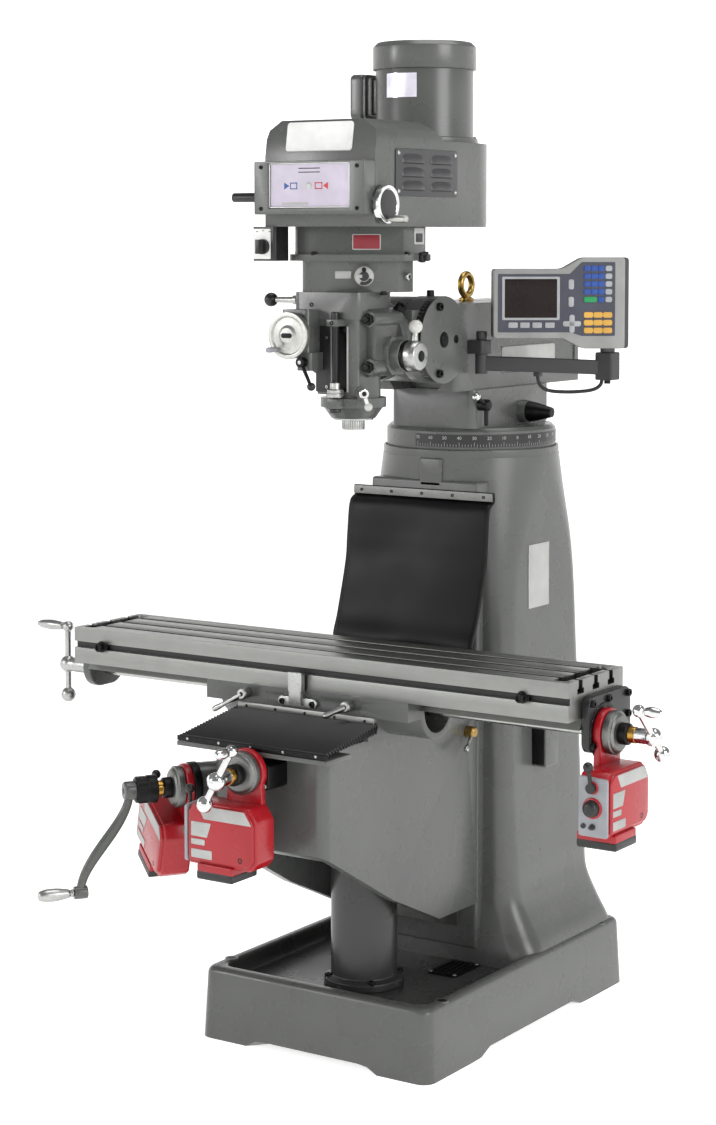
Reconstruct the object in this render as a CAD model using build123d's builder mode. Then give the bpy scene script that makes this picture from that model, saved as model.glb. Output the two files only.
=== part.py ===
"""Knee and column milling machine, built as separate named parts in one frame.

Units are millimetres. The origin is the centre of the base on the floor, +X runs right along the
table, -Y points at the operator and +Z is up. Every sub-part is a block of its own and is written
to parts/ under its own name.
"""

import os
from math import atan, atan2, cos, degrees, radians, sin

from build123d import *

os.makedirs("parts", exist_ok=True)

# Clearances
FIT = 0.05  # radial play of a shaft in its bore
SLIDE = 0.1  # play on dovetail flanks and crests
APART = 0.4  # air left between curved faces that don't run on each other

# Base and column
BASE_X = 587.0
BASE_Y = 869.0
BASE_H = 154.0
PAN_Z = 117.0
WALL = 20.0
COLUMN_TOP = 1245.0
TURRET_Y = 219.0
TURRET_R = 193.0
PAD_HALF = 140.0
PAD_Y = 14.0
WAY_HALF = 105.0
WAY_ROOT = 90.0
WAY_DEEP = 20.0
WAY_TOP = 1122.0
GUARD_Z = 1165.0

# Knee, saddle and table
KNEE_TOP = 699.0
KNEE_HALF = 141.0
KNEE_FRONT = -585.0
KNEE_LOW = 258.0
LIFT_Y = -227.0
SCREW_R = 12.0
LIFT_R = 16.0
SADDLE_H = 93.0
SADDLE_HALF = 255.0
TABLE_L = 1245.0
TABLE_W = 229.0
TABLE_H = 78.7
TABLE_Y = -337.5
FEED_AXIS = 61.0  # table screw above the knee top
CROSS_DROP = 39.0  # cross screw below the knee top
CROSS_OUT = 165.0  # saddle travel to the operator
LIFT_DRIVE = 117.0  # knee crank below the knee top
KNEE_CRANK_TURN = 35.0  # angle of the knee crank from the front, degrees
KNEE_CRANK_ROLL = 20.0  # roll of its feed unit, degrees

# Turret, ram and head
RING_H = 65.0
BLOCK_H = 86.0
RAM_HALF = 105.0
RAM_H = 193.0
RAM_REAR = 548.0
NOD_Y = -72.0
NOD_UP = 116.0
CHEEK_R = 95.0
TONGUE_HALF = 46.0
FLANGE_R = 87.5
FLANGE_Y = -190.0
SPINDLE_Y = -269.0
QUILL_R = 43.0
SPINDLE_R = 22.0
DRIVE_R = 14.0
COLLET_R = 12.06
MOTOR_Y = 14.0
MOTOR_R = 108.0
HOUSING_HALF = 138.0

# Heights and places worked out from the sizes above
saddle_top = KNEE_TOP + SADDLE_H
table_top = saddle_top + TABLE_H
table_front = TABLE_Y - TABLE_W / 2
table_end = TABLE_L / 2
feed_z = KNEE_TOP + FEED_AXIS
cross_z = KNEE_TOP - CROSS_DROP
drive_z = KNEE_TOP - LIFT_DRIVE
block_z = COLUMN_TOP + RING_H
ram_z = block_z + BLOCK_H
ram_top = ram_z + RAM_H
nod_z = ram_z + NOD_UP
case_z = nod_z + 106
drum_z = case_z + 66
belt_z = drum_z + 72
motor_z = belt_z + 182
cowl_z = motor_z + 162


def block(x, y, z, mode=Mode.ADD):
    """A box between three (low, high) pairs."""
    with BuildSketch(Plane.XY.offset(z[0])) as face:
        with Locations(((x[0] + x[1]) / 2, (y[0] + y[1]) / 2)):
            Rectangle(x[1] - x[0], y[1] - y[0])
    extrude(face.sketch, amount=z[1] - z[0], mode=mode)


def rounded(x, y, z, radius, mode=Mode.ADD):
    """A box with rounded upright edges."""
    with BuildSketch(Plane.XY.offset(z[0])) as face:
        with Locations(((x[0] + x[1]) / 2, (y[0] + y[1]) / 2)):
            RectangleRounded(x[1] - x[0], y[1] - y[0], radius)
    extrude(face.sketch, amount=z[1] - z[0], mode=mode)


def rod(start, way, radius, length, mode=Mode.ADD):
    """A round bar from a start point along a direction."""
    with BuildSketch(Plane(origin=start, z_dir=way)) as face:
        Circle(radius)
    extrude(face.sketch, amount=length, mode=mode)


def bar(start, end, radius):
    """A round bar between two points."""
    line = Vector(*end) - Vector(*start)
    rod(start, line, radius, line.length)


def ball(centre, radius, turn=0):
    """A ball knob; turn moves its seam away from the bar that carries it."""
    with Locations(Location(centre, (0, 0, turn))):
        Sphere(radius)


def lathe(start, way, outline, mode=Mode.ADD):
    """A turned piece from (radius, distance along the axis) points."""
    end = Plane(origin=start, z_dir=way)
    half = Plane(origin=start, x_dir=end.x_dir, z_dir=-end.y_dir)
    with BuildSketch(half) as face:
        with BuildLine():
            Polyline(*outline, close=True)
        make_face()
    revolve(face.sketch, axis=Axis(start, way), mode=mode)


def prism(plane, outline, amount, mode=Mode.ADD, both=False):
    """A polygon drawn on a plane and pushed out."""
    with BuildSketch(plane) as face:
        with BuildLine():
            Polyline(*outline, close=True)
        make_face()
    extrude(face.sketch, amount=amount, mode=mode, both=both)


def brick(plane, r, z, u, mode=Mode.ADD):
    """A box in a plane's own directions: right, up and out."""
    with BuildSketch(plane.offset(u[0])) as face:
        with Locations(((r[0] + r[1]) / 2, (z[0] + z[1]) / 2)):
            Rectangle(r[1] - r[0], z[1] - z[0])
    extrude(face.sketch, amount=u[1] - u[0], mode=mode)


def spot(plane, r, z, u):
    """A point given in a plane's own directions."""
    return tuple(plane.origin + plane.x_dir * r + plane.y_dir * z + plane.z_dir * u)


def save(builder, name):
    """Label a finished sub-part and write it out."""
    builder.part.label = name
    export_step(builder.part, f"parts/{name}.step")


# Column and base, one hollow casting with the knee way on its front

def column_ring(z, half, front, rear, front_r, rear_r):
    """One level of the column: a rectangle with its own front and rear corner radii."""
    with BuildSketch(Plane.XY.offset(z)) as ring:
        with BuildLine():
            Polyline((-half, front), (half, front), (half, rear), (-half, rear), close=True)
        make_face()
        fillet(ring.vertices().group_by(Axis.Y)[0], front_r)
        fillet(ring.vertices().group_by(Axis.Y)[-1], rear_r)
    return ring.sketch


base_draft = 7.2
column_front = PAD_Y + 26
column_rear = 425.0
cap_r = TURRET_R + 9
flare_half = BASE_X / 2 - 10
anchor_x = BASE_X / 2 - 22.5
anchor_y = BASE_Y / 2 - 89.5
anchor_r = 9.0
foot_x, foot_y, foot_h = 140.0, 220.0, 16.0
spigot_r = 60.0
flare_low, flare_low_half = 49.0, 247.0
flare_high, flare_high_half = 107.0, 217.0
leg_low, leg_half = 161.0, 212.0
waist_z, waist_half = 755.0, 196.0
shoulder_z, shoulder_half = 1057.0, 192.0
foot_round, flare_round, leg_round, shoulder_round = 60.0, 55.0, 45.0, 100.0
rear_round, rear_waist_round, rear_shoulder_round = 50.0, 55.0, 75.0

with BuildPart() as column:
    with BuildSketch() as base_face:
        RectangleRounded(BASE_X, BASE_Y, 45)
    extrude(base_face.sketch, amount=BASE_H, taper=degrees(atan(base_draft / BASE_H)))
    rounded(
        (-BASE_X / 2 + 36, BASE_X / 2 - 36), (-BASE_Y / 2 + 41, column_front + 30), (PAN_Z, BASE_H + 1), 30,
        mode=Mode.SUBTRACT,
    )
    loft(
        [
            column_ring(PAN_Z - 5, flare_half, PAD_Y, column_rear - 2, foot_round, rear_round),
            column_ring(BASE_H - 2, flare_half - 2, PAD_Y + 2, column_rear - 2, foot_round, rear_round),
            column_ring(BASE_H + flare_low, flare_low_half, PAD_Y + 16, column_rear, flare_round, rear_round),
            column_ring(BASE_H + flare_high, flare_high_half, column_front - 2, column_rear, leg_round + 5, rear_round - 2),
            column_ring(BASE_H + leg_low, leg_half, column_front, column_rear, leg_round, rear_round - 2),
            column_ring(waist_z, waist_half, column_front, column_rear - 13, leg_round, rear_waist_round),
            column_ring(
                shoulder_z, shoulder_half, column_front - 10, column_rear - 20, shoulder_round, rear_shoulder_round
            ),
            column_ring(COLUMN_TOP, cap_r, TURRET_Y - cap_r, TURRET_Y + cap_r, cap_r - 1, cap_r - 1),
        ],
        ruled=True,
    )
    block((-PAD_HALF, PAD_HALF), (PAD_Y, column_front + 30), (PAN_Z - 5, GUARD_Z + 30))
    way = [(-WAY_ROOT, PAD_Y + 2), (-WAY_HALF, PAD_Y - WAY_DEEP), (WAY_HALF, PAD_Y - WAY_DEEP), (WAY_ROOT, PAD_Y + 2)]
    prism(Plane.XY.offset(BASE_H + flare_low), way, WAY_TOP - BASE_H - flare_low)
    block((-12, 45), (PAD_Y, column_front + 30), (COLUMN_TOP - 50, COLUMN_TOP))
    # Feet, the hollow underside and the hollow column
    block((-BASE_X, BASE_X), (-BASE_Y / 2 + foot_y, BASE_Y / 2 - foot_y), (-1, foot_h), mode=Mode.SUBTRACT)
    block((-BASE_X / 2 + foot_x, BASE_X / 2 - foot_x), (-BASE_Y, BASE_Y), (-1, foot_h), mode=Mode.SUBTRACT)
    rounded(
        (-BASE_X / 2 + 60, BASE_X / 2 - 60), (-BASE_Y / 2 + 40, BASE_Y / 2 - 40), (-1, PAN_Z - WALL), 25,
        mode=Mode.SUBTRACT,
    )
    loft(
        [
            column_ring(PAN_Z - WALL - 1, leg_half + 13, column_front + 45, column_rear - 35, 30, 30),
            column_ring(BASE_H + leg_low, leg_half - 22, column_front + 45, column_rear - WALL, 30, 30),
            column_ring(
                shoulder_z, shoulder_half - 22, column_front + 45, column_rear - 20 - WALL, shoulder_round - 30,
                rear_shoulder_round - WALL,
            ),
            column_ring(
                COLUMN_TOP - 25, cap_r - 42, TURRET_Y - cap_r + 68, TURRET_Y + cap_r - 42, cap_r - 82, cap_r - 52
            ),
        ],
        ruled=True,
        mode=Mode.SUBTRACT,
    )
    rod((0, TURRET_Y, COLUMN_TOP - 30), (0, 0, 1), spigot_r + FIT, 40, mode=Mode.SUBTRACT)
    for side in (-1, 1):
        for end in (-1, 1):
            rod((side * anchor_x, end * anchor_y, -1), (0, 0, 1), anchor_r, BASE_H + 60, mode=Mode.SUBTRACT)
            rod((side * anchor_x, end * anchor_y, BASE_H - 6), (0, 0, 1), 20, 90, mode=Mode.SUBTRACT)
save(column, "column")

# Pedestal standing in the pan, with the nut of the elevating screw at its top
pedestal_top = drive_z - 42
nut_len = 40.0

with BuildPart() as screw_pedestal:
    lathe(
        (0, LIFT_Y, PAN_Z),
        (0, 0, 1),
        [
            (LIFT_R + 6, 0),
            (87, 0),
            (87, 16),
            (72, 22),
            (72, pedestal_top - PAN_Z),
            (LIFT_R + FIT, pedestal_top - PAN_Z),
            (LIFT_R + FIT, pedestal_top - PAN_Z - nut_len),
            (LIFT_R + 6, pedestal_top - PAN_Z - nut_len),
        ],
    )
save(screw_pedestal, "screw_pedestal")

# Steel strip that clamps the rubber guard to the column
sheet = 3.0
strip_half = 181.0

with BuildPart() as guard_strip:
    block((-strip_half, strip_half), (PAD_Y - sheet - 6, PAD_Y - sheet), (GUARD_Z - 9, GUARD_Z + 9))
save(guard_strip, "guard_strip")

# Rubber way guard: a slack sheet from the strip to the rear of the knee top
guard_half = 183.0
guard_foot_y = PAD_Y - 36

with BuildPart() as chip_guard:
    with BuildSketch(Plane.YZ) as guard_side:
        with BuildLine() as guard_line:
            top = Line((PAD_Y - sheet / 2, GUARD_Z + 10), (PAD_Y - sheet / 2, GUARD_Z - 10))
            lip = Line(top @ 1, (PAD_Y - WAY_DEEP - 4, WAY_TOP + 14))
            fall = Spline(
                lip @ 1,
                (PAD_Y - 44, KNEE_TOP + 306),
                (PAD_Y - 79, KNEE_TOP + 196),
                (PAD_Y - 99, KNEE_TOP + 142),
                (PAD_Y - 84, KNEE_TOP + 90),
                (PAD_Y - 55, KNEE_TOP + 35),
                (guard_foot_y, KNEE_TOP + sheet / 2),
                tangents=((-0.1, -1), (1, -0.15)),
            )
            Line(fall @ 1, (PAD_Y - WAY_DEEP - 2, KNEE_TOP + sheet / 2))
        trace(line_width=sheet)
    extrude(guard_side.sketch, amount=guard_half, both=True)
save(chip_guard, "chip_guard")

# Turret that swivels on the column and carries the ram on a dovetail
rail_root = 55.0
rail_half = 70.0
rail_h = 20.0
turret_y = (47.0, 390.0)
pinion_y = 260.0
pinion_z = block_z + 28
lock_y = 70.0
lock_z = block_z + 53

with BuildPart() as turret:
    lathe(
        (0, TURRET_Y, COLUMN_TOP),
        (0, 0, 1),
        [(0, -25), (spigot_r, -25), (spigot_r, 0), (TURRET_R, 0), (TURRET_R, RING_H - 8), (TURRET_R - 8, RING_H), (0, RING_H)],
    )
    rounded((-110, 110), turret_y, (block_z, ram_z), 18)
    rail = [(-rail_root, ram_z), (rail_root, ram_z), (rail_half, ram_z + rail_h), (-rail_half, ram_z + rail_h)]
    prism(Plane.XZ.offset(-turret_y[1] + 10), rail, turret_y[1] - turret_y[0] - 20)
    rod((100, pinion_y, pinion_z), (1, 0, 0), 26, 30)
    rod((60, pinion_y, pinion_z), (1, 0, 0), SCREW_R + FIT, 90, mode=Mode.SUBTRACT)
    rod((90, lock_y, lock_z), (1, 0, 0), 8 + FIT, 40, mode=Mode.SUBTRACT)
save(turret, "turret")

# Ram lock: a screw with a bent handle, a ball and a cross bar
with BuildPart() as ram_lock_lever:
    rod((91, lock_y, lock_z), (1, 0, 0), 8, 20)
    rod((110, lock_y, lock_z), (1, 0, 0), 13, 28)
    bar((128, lock_y, lock_z), (128, lock_y - 42, lock_z + 20), 5)
    bar((128, lock_y, lock_z), (128, lock_y, lock_z - 46), 5)
    ball((128, lock_y - 43, lock_z + 21), 10)
save(ram_lock_lever, "ram_lock_lever")

# Ram pinion with its cone end
with BuildPart() as ram_pinion:
    lathe(
        (61, pinion_y, pinion_z),
        (1, 0, 0),
        [(0, 0), (SCREW_R, 0), (SCREW_R, 69), (24, 69), (20, 92), (11, 128), (0, 128)],
    )
save(ram_pinion, "ram_pinion")

# Ram: a box casting with two round cheeks at the front
with BuildPart() as ram:
    rounded((-RAM_HALF, RAM_HALF), (NOD_Y + 52, RAM_REAR), (ram_z, ram_top), 14)
    rod((-RAM_HALF, NOD_Y, nod_z), (1, 0, 0), CHEEK_R, 2 * RAM_HALF)
    block(
        (-TONGUE_HALF, TONGUE_HALF), (NOD_Y - 120, NOD_Y + CHEEK_R + 7), (ram_z - 1, nod_z + 120),
        mode=Mode.SUBTRACT,
    )
    groove = [
        (-rail_root - SLIDE, ram_z - 1),
        (rail_root + SLIDE, ram_z - 1),
        (rail_half + SLIDE, ram_z + rail_h + SLIDE),
        (-rail_half - SLIDE, ram_z + rail_h + SLIDE),
    ]
    prism(Plane.XZ.offset(-RAM_REAR - 1), groove, RAM_REAR - NOD_Y, mode=Mode.SUBTRACT)
    for side in (-1, 1):
        x = sorted((side * (RAM_HALF - 4), side * (RAM_HALF + 1)))
        block(x, (173, RAM_REAR - 28), (ram_z + 32, ram_z + 98), mode=Mode.SUBTRACT)
save(ram, "ram")

# Lifting eyebolt on top of the ram
eye_y = 195.0

with BuildPart() as eyebolt:
    lathe((0, eye_y, ram_top), (0, 0, 1), [(0, 0), (17, 0), (17, 6), (10, 10), (10, 16), (0, 16)])
    with Locations(Location((0, eye_y, ram_top + 37), (0, 90, 0))):
        Torus(24, 7.5)
save(eyebolt, "eyebolt")

# Readout: a bracket on the ram, a swing arm with its cable, and the display
pivot = (RAM_HALF + 25, 45.0)
knuckle = (362.0, 197.0)
bracket_z = (ram_z + 82, ram_z + 112)
arm_z = ram_z + 52
arm_r = 12.0
knuckle_z = (ram_z + 24, ram_z + 86)
clip = (234.0, 113.2)
clip_z = arm_z - 20

with BuildPart() as dro_bracket:
    rounded((RAM_HALF - 20, pivot[0] + 16), (pivot[1] - 20, pivot[1] + 21), bracket_z, 8)
    block((RAM_HALF - 30, RAM_HALF), (-50, 130), (ram_z, ram_top), mode=Mode.SUBTRACT)
    rod((*pivot, ram_z), (0, 0, 1), 9 + FIT, 200, mode=Mode.SUBTRACT)
save(dro_bracket, "dro_bracket")

with BuildPart() as dro_arm:
    lathe(
        (*pivot, 0),
        (0, 0, 1),
        [
            (0, arm_z - 14),
            (14, arm_z - 14),
            (14, bracket_z[0]),
            (9, bracket_z[0]),
            (9, bracket_z[1]),
            (12, bracket_z[1]),
            (12, bracket_z[1] + 20),
            (0, bracket_z[1] + 20),
        ],
    )
    bar((*pivot, arm_z), (*knuckle, arm_z), arm_r)
    rounded((knuckle[0] - 21, knuckle[0] + 21), (knuckle[1] - 21, knuckle[1] + 21), knuckle_z, 5)
    rounded((clip[0] - 8, clip[0] + 8), (clip[1] - 8, clip[1] + 8), (clip_z, arm_z), 3)
    rod((*knuckle, knuckle_z[1] - 25), (0, 0, 1), 8 + FIT, 30, mode=Mode.SUBTRACT)
save(dro_arm, "dro_arm")

cable_r = 4.0
cable_start = (knuckle[0] - 10, knuckle[1] - 7)
cable_points = [
    Vector(*cable_start, knuckle_z[0]),
    Vector(*cable_start, knuckle_z[0] - 20),
    Vector(294, 153, knuckle_z[0] - 28),
    Vector(*clip, knuckle_z[0] - 22),
    Vector(*clip, clip_z),
]


def bend_radii(points):
    """The bend radius at each inner corner, kept inside the shorter of its two straight runs."""
    radii = []
    for before, corner, after in zip(points, points[1:], points[2:]):
        turn = (corner - before).get_angle(after - corner)
        run = min((corner - before).length, (after - corner).length)
        radii.append(0.45 * run / (sin(radians(turn / 2)) / cos(radians(turn / 2))))
    return radii


cable_bends = bend_radii(cable_points)
print("cable bend radii", [round(r, 1) for r in cable_bends])

with BuildPart() as dro_cable:
    with BuildLine() as cable_line:
        FilletPolyline(*cable_points, radius=cable_bends)
    with BuildSketch(Plane(origin=cable_points[0], z_dir=(0, 0, -1))) as cable_face:
        Circle(cable_r)
    sweep(cable_face.sketch, path=cable_line.line)
cable_length = sum(edge.length for edge in cable_line.line.edges())
print("cable length", round(cable_length, 1), "volume", round(dro_cable.part.volume), "expected",
      round(cable_length * 3.14159 * cable_r**2))
save(dro_cable, "dro_cable")

display_turn = 36.0
display_low = knuckle_z[1] + 8
display_at = (275.0, 138.0, display_low)
display_plane = Plane(
    origin=display_at,
    x_dir=(cos(radians(display_turn)), sin(radians(display_turn)), 0),
    z_dir=(sin(radians(display_turn)), -cos(radians(display_turn)), 0),
)

with BuildPart() as dro_housing:
    brick(display_plane, (-150, 20), (23, 175), (-27.5, 27.5))
    brick(display_plane, (20, 151), (0, 200), (-27.5, 27.5))
    rod((*knuckle, knuckle_z[1]), (0, 0, 1), 16, 12)
    rod((*knuckle, knuckle_z[1] - 24), (0, 0, 1), 8, 30)
save(dro_housing, "dro_housing")

# Ram adapter: a tongue between the ram cheeks, a hollowed block and the head's swivel flange
pilot_r = 40.0
flange_t = 15.0

with BuildPart() as ram_adapter:
    block((-88, 88), (FLANGE_Y + flange_t, NOD_Y - 40), (nod_z - 66, nod_z + 66))
    rod((-120, NOD_Y, nod_z), (1, 0, 0), CHEEK_R + 2, 240, mode=Mode.SUBTRACT)
    rod((0, FLANGE_Y + flange_t, nod_z), (0, -1, 0), FLANGE_R, flange_t)
    rod((0, FLANGE_Y, nod_z), (0, -1, 0), pilot_r, 10)
    tongue = TONGUE_HALF - SLIDE
    rod((-tongue, NOD_Y, nod_z), (1, 0, 0), CHEEK_R - 2, 2 * tongue)
    block((-tongue, tongue), (FLANGE_Y + flange_t - 2, NOD_Y), (nod_z - 58, nod_z + 58))
save(ram_adapter, "ram_adapter")

# Head casting: a barrel round the quill, a box in front for the depth stop, a block for the feed drive
# above and a wide flange behind that bolts to the ram adapter
barrel_r = 58.0
barrel_low = nod_z - 117
foot_r = 70.0
foot_h = 20.0
cone_h = 24.0
front_half = 53.0
front_y = SPINDLE_Y - 63
front_top = nod_z + 50
bolt_x, bolt_z, bolt_boss = 66.0, 50.0, 17.0
worm_z = nod_z + 16
worm_x = -78.0
worm_face = -378.0
trip_at = (-53.0, -378.0, nod_z - 40)
stop_at = (8.0, front_y - 18)
stop_r = 8.0
stop_half = 13.0
stop_z = (barrel_low, front_top - 14)
pinion_at = (-232.0, nod_z - 28)
pinion_face = 88.0
pinion_half = 40.0
lock_way = (cos(radians(-44)), sin(radians(-44)), 0)
quill_lock_z = nod_z - 104
quill_lock_out = 88.0
quill_lock_at = (lock_way[0] * quill_lock_out, SPINDLE_Y + lock_way[1] * quill_lock_out, quill_lock_z)
engage_at = (-300.0, case_z - 18)
engage_face = -120.0

with BuildPart() as quill_head:
    lathe(
        (0, SPINDLE_Y, barrel_low),
        (0, 0, 1),
        [
            (0, -foot_h - cone_h),
            (QUILL_R + 4, -foot_h - cone_h),
            (foot_r - 6, -foot_h),
            (foot_r, -foot_h),
            (foot_r, 0),
            (barrel_r, 0),
            (barrel_r, case_z - barrel_low),
            (0, case_z - barrel_low),
        ],
    )
    block((-front_half, front_half), (front_y, SPINDLE_Y), (barrel_low + 8, front_top))
    fillet(quill_head.edges().filter_by(Axis.Z).group_by(Axis.Y)[0], 8)
    rod((0, FLANGE_Y, nod_z), (0, -1, 0), FLANGE_R, 20)
    with BuildSketch(Plane.XZ.offset(-FLANGE_Y + 10)) as back_face:
        with Locations((0, nod_z)):
            RectangleRounded(2 * bolt_x + 20, 2 * bolt_z + 44, 22)
    extrude(back_face.sketch, amount=SPINDLE_Y * -1 + FLANGE_Y + 20)
    for bolt_side in (-bolt_x, bolt_x):
        for bolt_up in (-bolt_z, bolt_z):
            rod((bolt_side, FLANGE_Y - 10, nod_z + bolt_up), (0, -1, 0), bolt_boss, SPINDLE_Y * -1 + FLANGE_Y + 30)
    rounded((-110, barrel_r), (front_y - 6, FLANGE_Y - 10), (front_top, case_z), 20)
    rounded((-110, -42), (worm_face, -300), (nod_z - 20, nod_z + 70), 8)
    rounded((-72, -34), (trip_at[1], -320), (nod_z - 58, nod_z - 20), 6)
    cut = 0.45 * pinion_half
    octagon = [
        (pinion_at[0] + side_y * (pinion_half - cut * flat), pinion_at[1] + side_z * (pinion_half - cut * (1 - flat)))
        for side_y, side_z, flat in (
            (-1, -1, 0), (-1, -1, 1), (1, -1, 1), (1, -1, 0), (1, 1, 0), (1, 1, 1), (-1, 1, 1), (-1, 1, 0)
        )
    ]
    prism(Plane.YZ.offset(30), octagon, pinion_face - 30)
    rod((lock_way[0] * 50, SPINDLE_Y + lock_way[1] * 50, quill_lock_z), lock_way, 14, quill_lock_out - 50)
    rod((-100, *engage_at), (-1, 0, 0), 14, -100 - engage_face)
    stop_x = (stop_at[0] - stop_half, stop_at[0] + stop_half)
    stop_y = (stop_at[1] - stop_half, SPINDLE_Y - 40)
    block(stop_x, stop_y, (barrel_low - foot_h, stop_z[0]))
    block(stop_x, stop_y, (stop_z[1], front_top))
    # Slot behind the depth stop
    block((stop_at[0] - 19, stop_at[0] + 19), (front_y - 1, front_y + 10), (stop_z[0] + 14, stop_z[1]), mode=Mode.SUBTRACT)
    # Bores: quill, spindle, swivel pilot, worm, trip, pinion, quill lock, feed knob and stop screw
    rod((0, SPINDLE_Y, barrel_low - 60), (0, 0, 1), QUILL_R + FIT, case_z - barrel_low + 48, mode=Mode.SUBTRACT)
    rod((0, SPINDLE_Y, barrel_low), (0, 0, 1), 30, 400, mode=Mode.SUBTRACT)
    rod((0, FLANGE_Y + 1, nod_z), (0, -1, 0), pilot_r + FIT, 12, mode=Mode.SUBTRACT)
    rod((worm_x, worm_face - 1, worm_z), (0, 1, 0), 8 + FIT, 41, mode=Mode.SUBTRACT)
    rod((trip_at[0], trip_at[1] - 1, trip_at[2]), (0, 1, 0), 6 + FIT, 26, mode=Mode.SUBTRACT)
    rod((50, *pinion_at), (1, 0, 0), SCREW_R + FIT, 60, mode=Mode.SUBTRACT)
    rod(quill_lock_at, (-lock_way[0], -lock_way[1], 0), 6 + FIT, 20, mode=Mode.SUBTRACT)
    rod((-70, *engage_at), (-1, 0, 0), 7 + FIT, 60, mode=Mode.SUBTRACT)
    rod((*stop_at, barrel_low - 60), (0, 0, 1), stop_r + FIT, 300, mode=Mode.SUBTRACT)
save(quill_head, "quill_head")

# Quill: a sleeve that slides in the head
quill_low = barrel_low - foot_h - cone_h - 4
quill_high = nod_z + 50

with BuildPart() as quill:
    rod((0, SPINDLE_Y, quill_low), (0, 0, 1), QUILL_R, quill_high - quill_low)
    rod((0, SPINDLE_Y, quill_low - 1), (0, 0, 1), SPINDLE_R + FIT, quill_high - quill_low + 2, mode=Mode.SUBTRACT)
save(quill, "quill")

# Spindle with its collet bore, reaching up through the pulley
nose = quill_low - 21
spindle_top = belt_z + 165
collet_deep = 101.0

with BuildPart() as spindle:
    lathe(
        (0, SPINDLE_Y, 0),
        (0, 0, 1),
        [
            (COLLET_R + 4, nose),
            (24, nose),
            (24, quill_low),
            (SPINDLE_R, quill_low),
            (SPINDLE_R, quill_high - 5),
            (DRIVE_R, quill_high - 5),
            (DRIVE_R, spindle_top),
            (0, spindle_top),
            (0, nose + collet_deep),
            (COLLET_R, nose + collet_deep),
            (COLLET_R, nose + 14),
        ],
    )
save(spindle, "spindle")

# Gear case in two steps under the belt housing, each with a flat on its right front
case_half = 100.0
case_y = (SPINDLE_Y - 66, FLANGE_Y - APART)
drum_half = 116.0
drum_y = (SPINDLE_Y - 70, FLANGE_Y + 24)
flat_from = -30.0
flat_rise = 86.0
rim = 8.0
case_wall = 14.0
dial_turn = atan2(-case_half + flat_from, flat_rise)
dial_way = (cos(dial_turn), sin(dial_turn), 0)
dial_share = 0.54
dial_from = (
    flat_from + dial_share * (case_half - flat_from),
    case_y[0] + dial_share * flat_rise,
)
dial_z = case_z + 34


def dial_spot(out):
    """A point on the range dial's axis, a distance out from the case's flat."""
    return (dial_from[0] + dial_way[0] * out, dial_from[1] + dial_way[1] * out, dial_z)


def case_plan(z, half, y):
    """A case seen from above: square behind, round at the left front and flat at the right front."""
    with BuildSketch(Plane.XY.offset(z)) as plan:
        with BuildLine():
            Polyline(
                (-half, y[1]), (-half, y[0]), (flat_from, y[0]), (half, y[0] + flat_rise), (half, y[1]), close=True
            )
        make_face()
        fillet(plan.vertices().sort_by(lambda v: v.X + v.Y)[0], 30)
    return plan.sketch


with BuildPart() as gear_case:
    extrude(case_plan(case_z, case_half, case_y), amount=drum_z - case_z)
    extrude(case_plan(drum_z, drum_half, drum_y), amount=belt_z - drum_z)
    extrude(
        case_plan(drum_z, drum_half + rim, (drum_y[0] - rim, drum_y[1] + rim)), amount=case_wall
    )
    rod(dial_spot(-8), dial_way, 24, 11)
    inner = (case_y[0] + case_wall, case_y[1] - case_wall)
    extrude(case_plan(case_z + 12, case_half - case_wall, inner), amount=drum_z - case_z - 12, mode=Mode.SUBTRACT)
    inner = (drum_y[0] + case_wall, drum_y[1] - case_wall)
    extrude(
        case_plan(drum_z + 12, drum_half - case_wall, inner), amount=belt_z - drum_z - 24, mode=Mode.SUBTRACT
    )
    rod((0, SPINDLE_Y, case_z - 1), (0, 0, 1), 24, belt_z - case_z + 2, mode=Mode.SUBTRACT)
    rod(dial_spot(-40), dial_way, 6 + FIT, 60, mode=Mode.SUBTRACT)
save(gear_case, "gear_case")

# Belt housing: a hollow casting with a rounded rear, a raised hood and a slanted rear underside
housing_front = -396.0
housing_wall = 9.0
hood_h = 39.0
hood_rear = (-170.0, -130.0)
hood_edge = 20.0
hood_half = HOUSING_HALF - 35
hood_lean = 12.0
brow_z = belt_z + 146
speed_at = (housing_front + 22, belt_z + 45)
brake_at = (-HOUSING_HALF - 12, housing_front + 29, belt_z + 62)


def housing_plan(z, inset):
    """The housing seen from above, a straight-sided front with a round rear."""
    half = HOUSING_HALF - inset
    with BuildSketch(Plane.XY.offset(z)) as plan:
        with BuildLine():
            left = Line((-half, MOTOR_Y), (-half, housing_front + inset))
            front = Line(left @ 1, (half, housing_front + inset))
            right = Line(front @ 1, (half, MOTOR_Y))
            RadiusArc(right @ 1, left @ 0, -half)
        make_face()
    return plan.sketch


with BuildPart() as belt_hollow:
    extrude(housing_plan(belt_z + 10, housing_wall), amount=motor_z - belt_z - 10 - housing_wall)
    slope = [(60, belt_z), (MOTOR_Y + HOUSING_HALF, belt_z), (MOTOR_Y + HOUSING_HALF, belt_z + 92)]
    prism(Plane.YZ.offset(-HOUSING_HALF - 1), slope, 2 * HOUSING_HALF + 2, mode=Mode.SUBTRACT)

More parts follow.
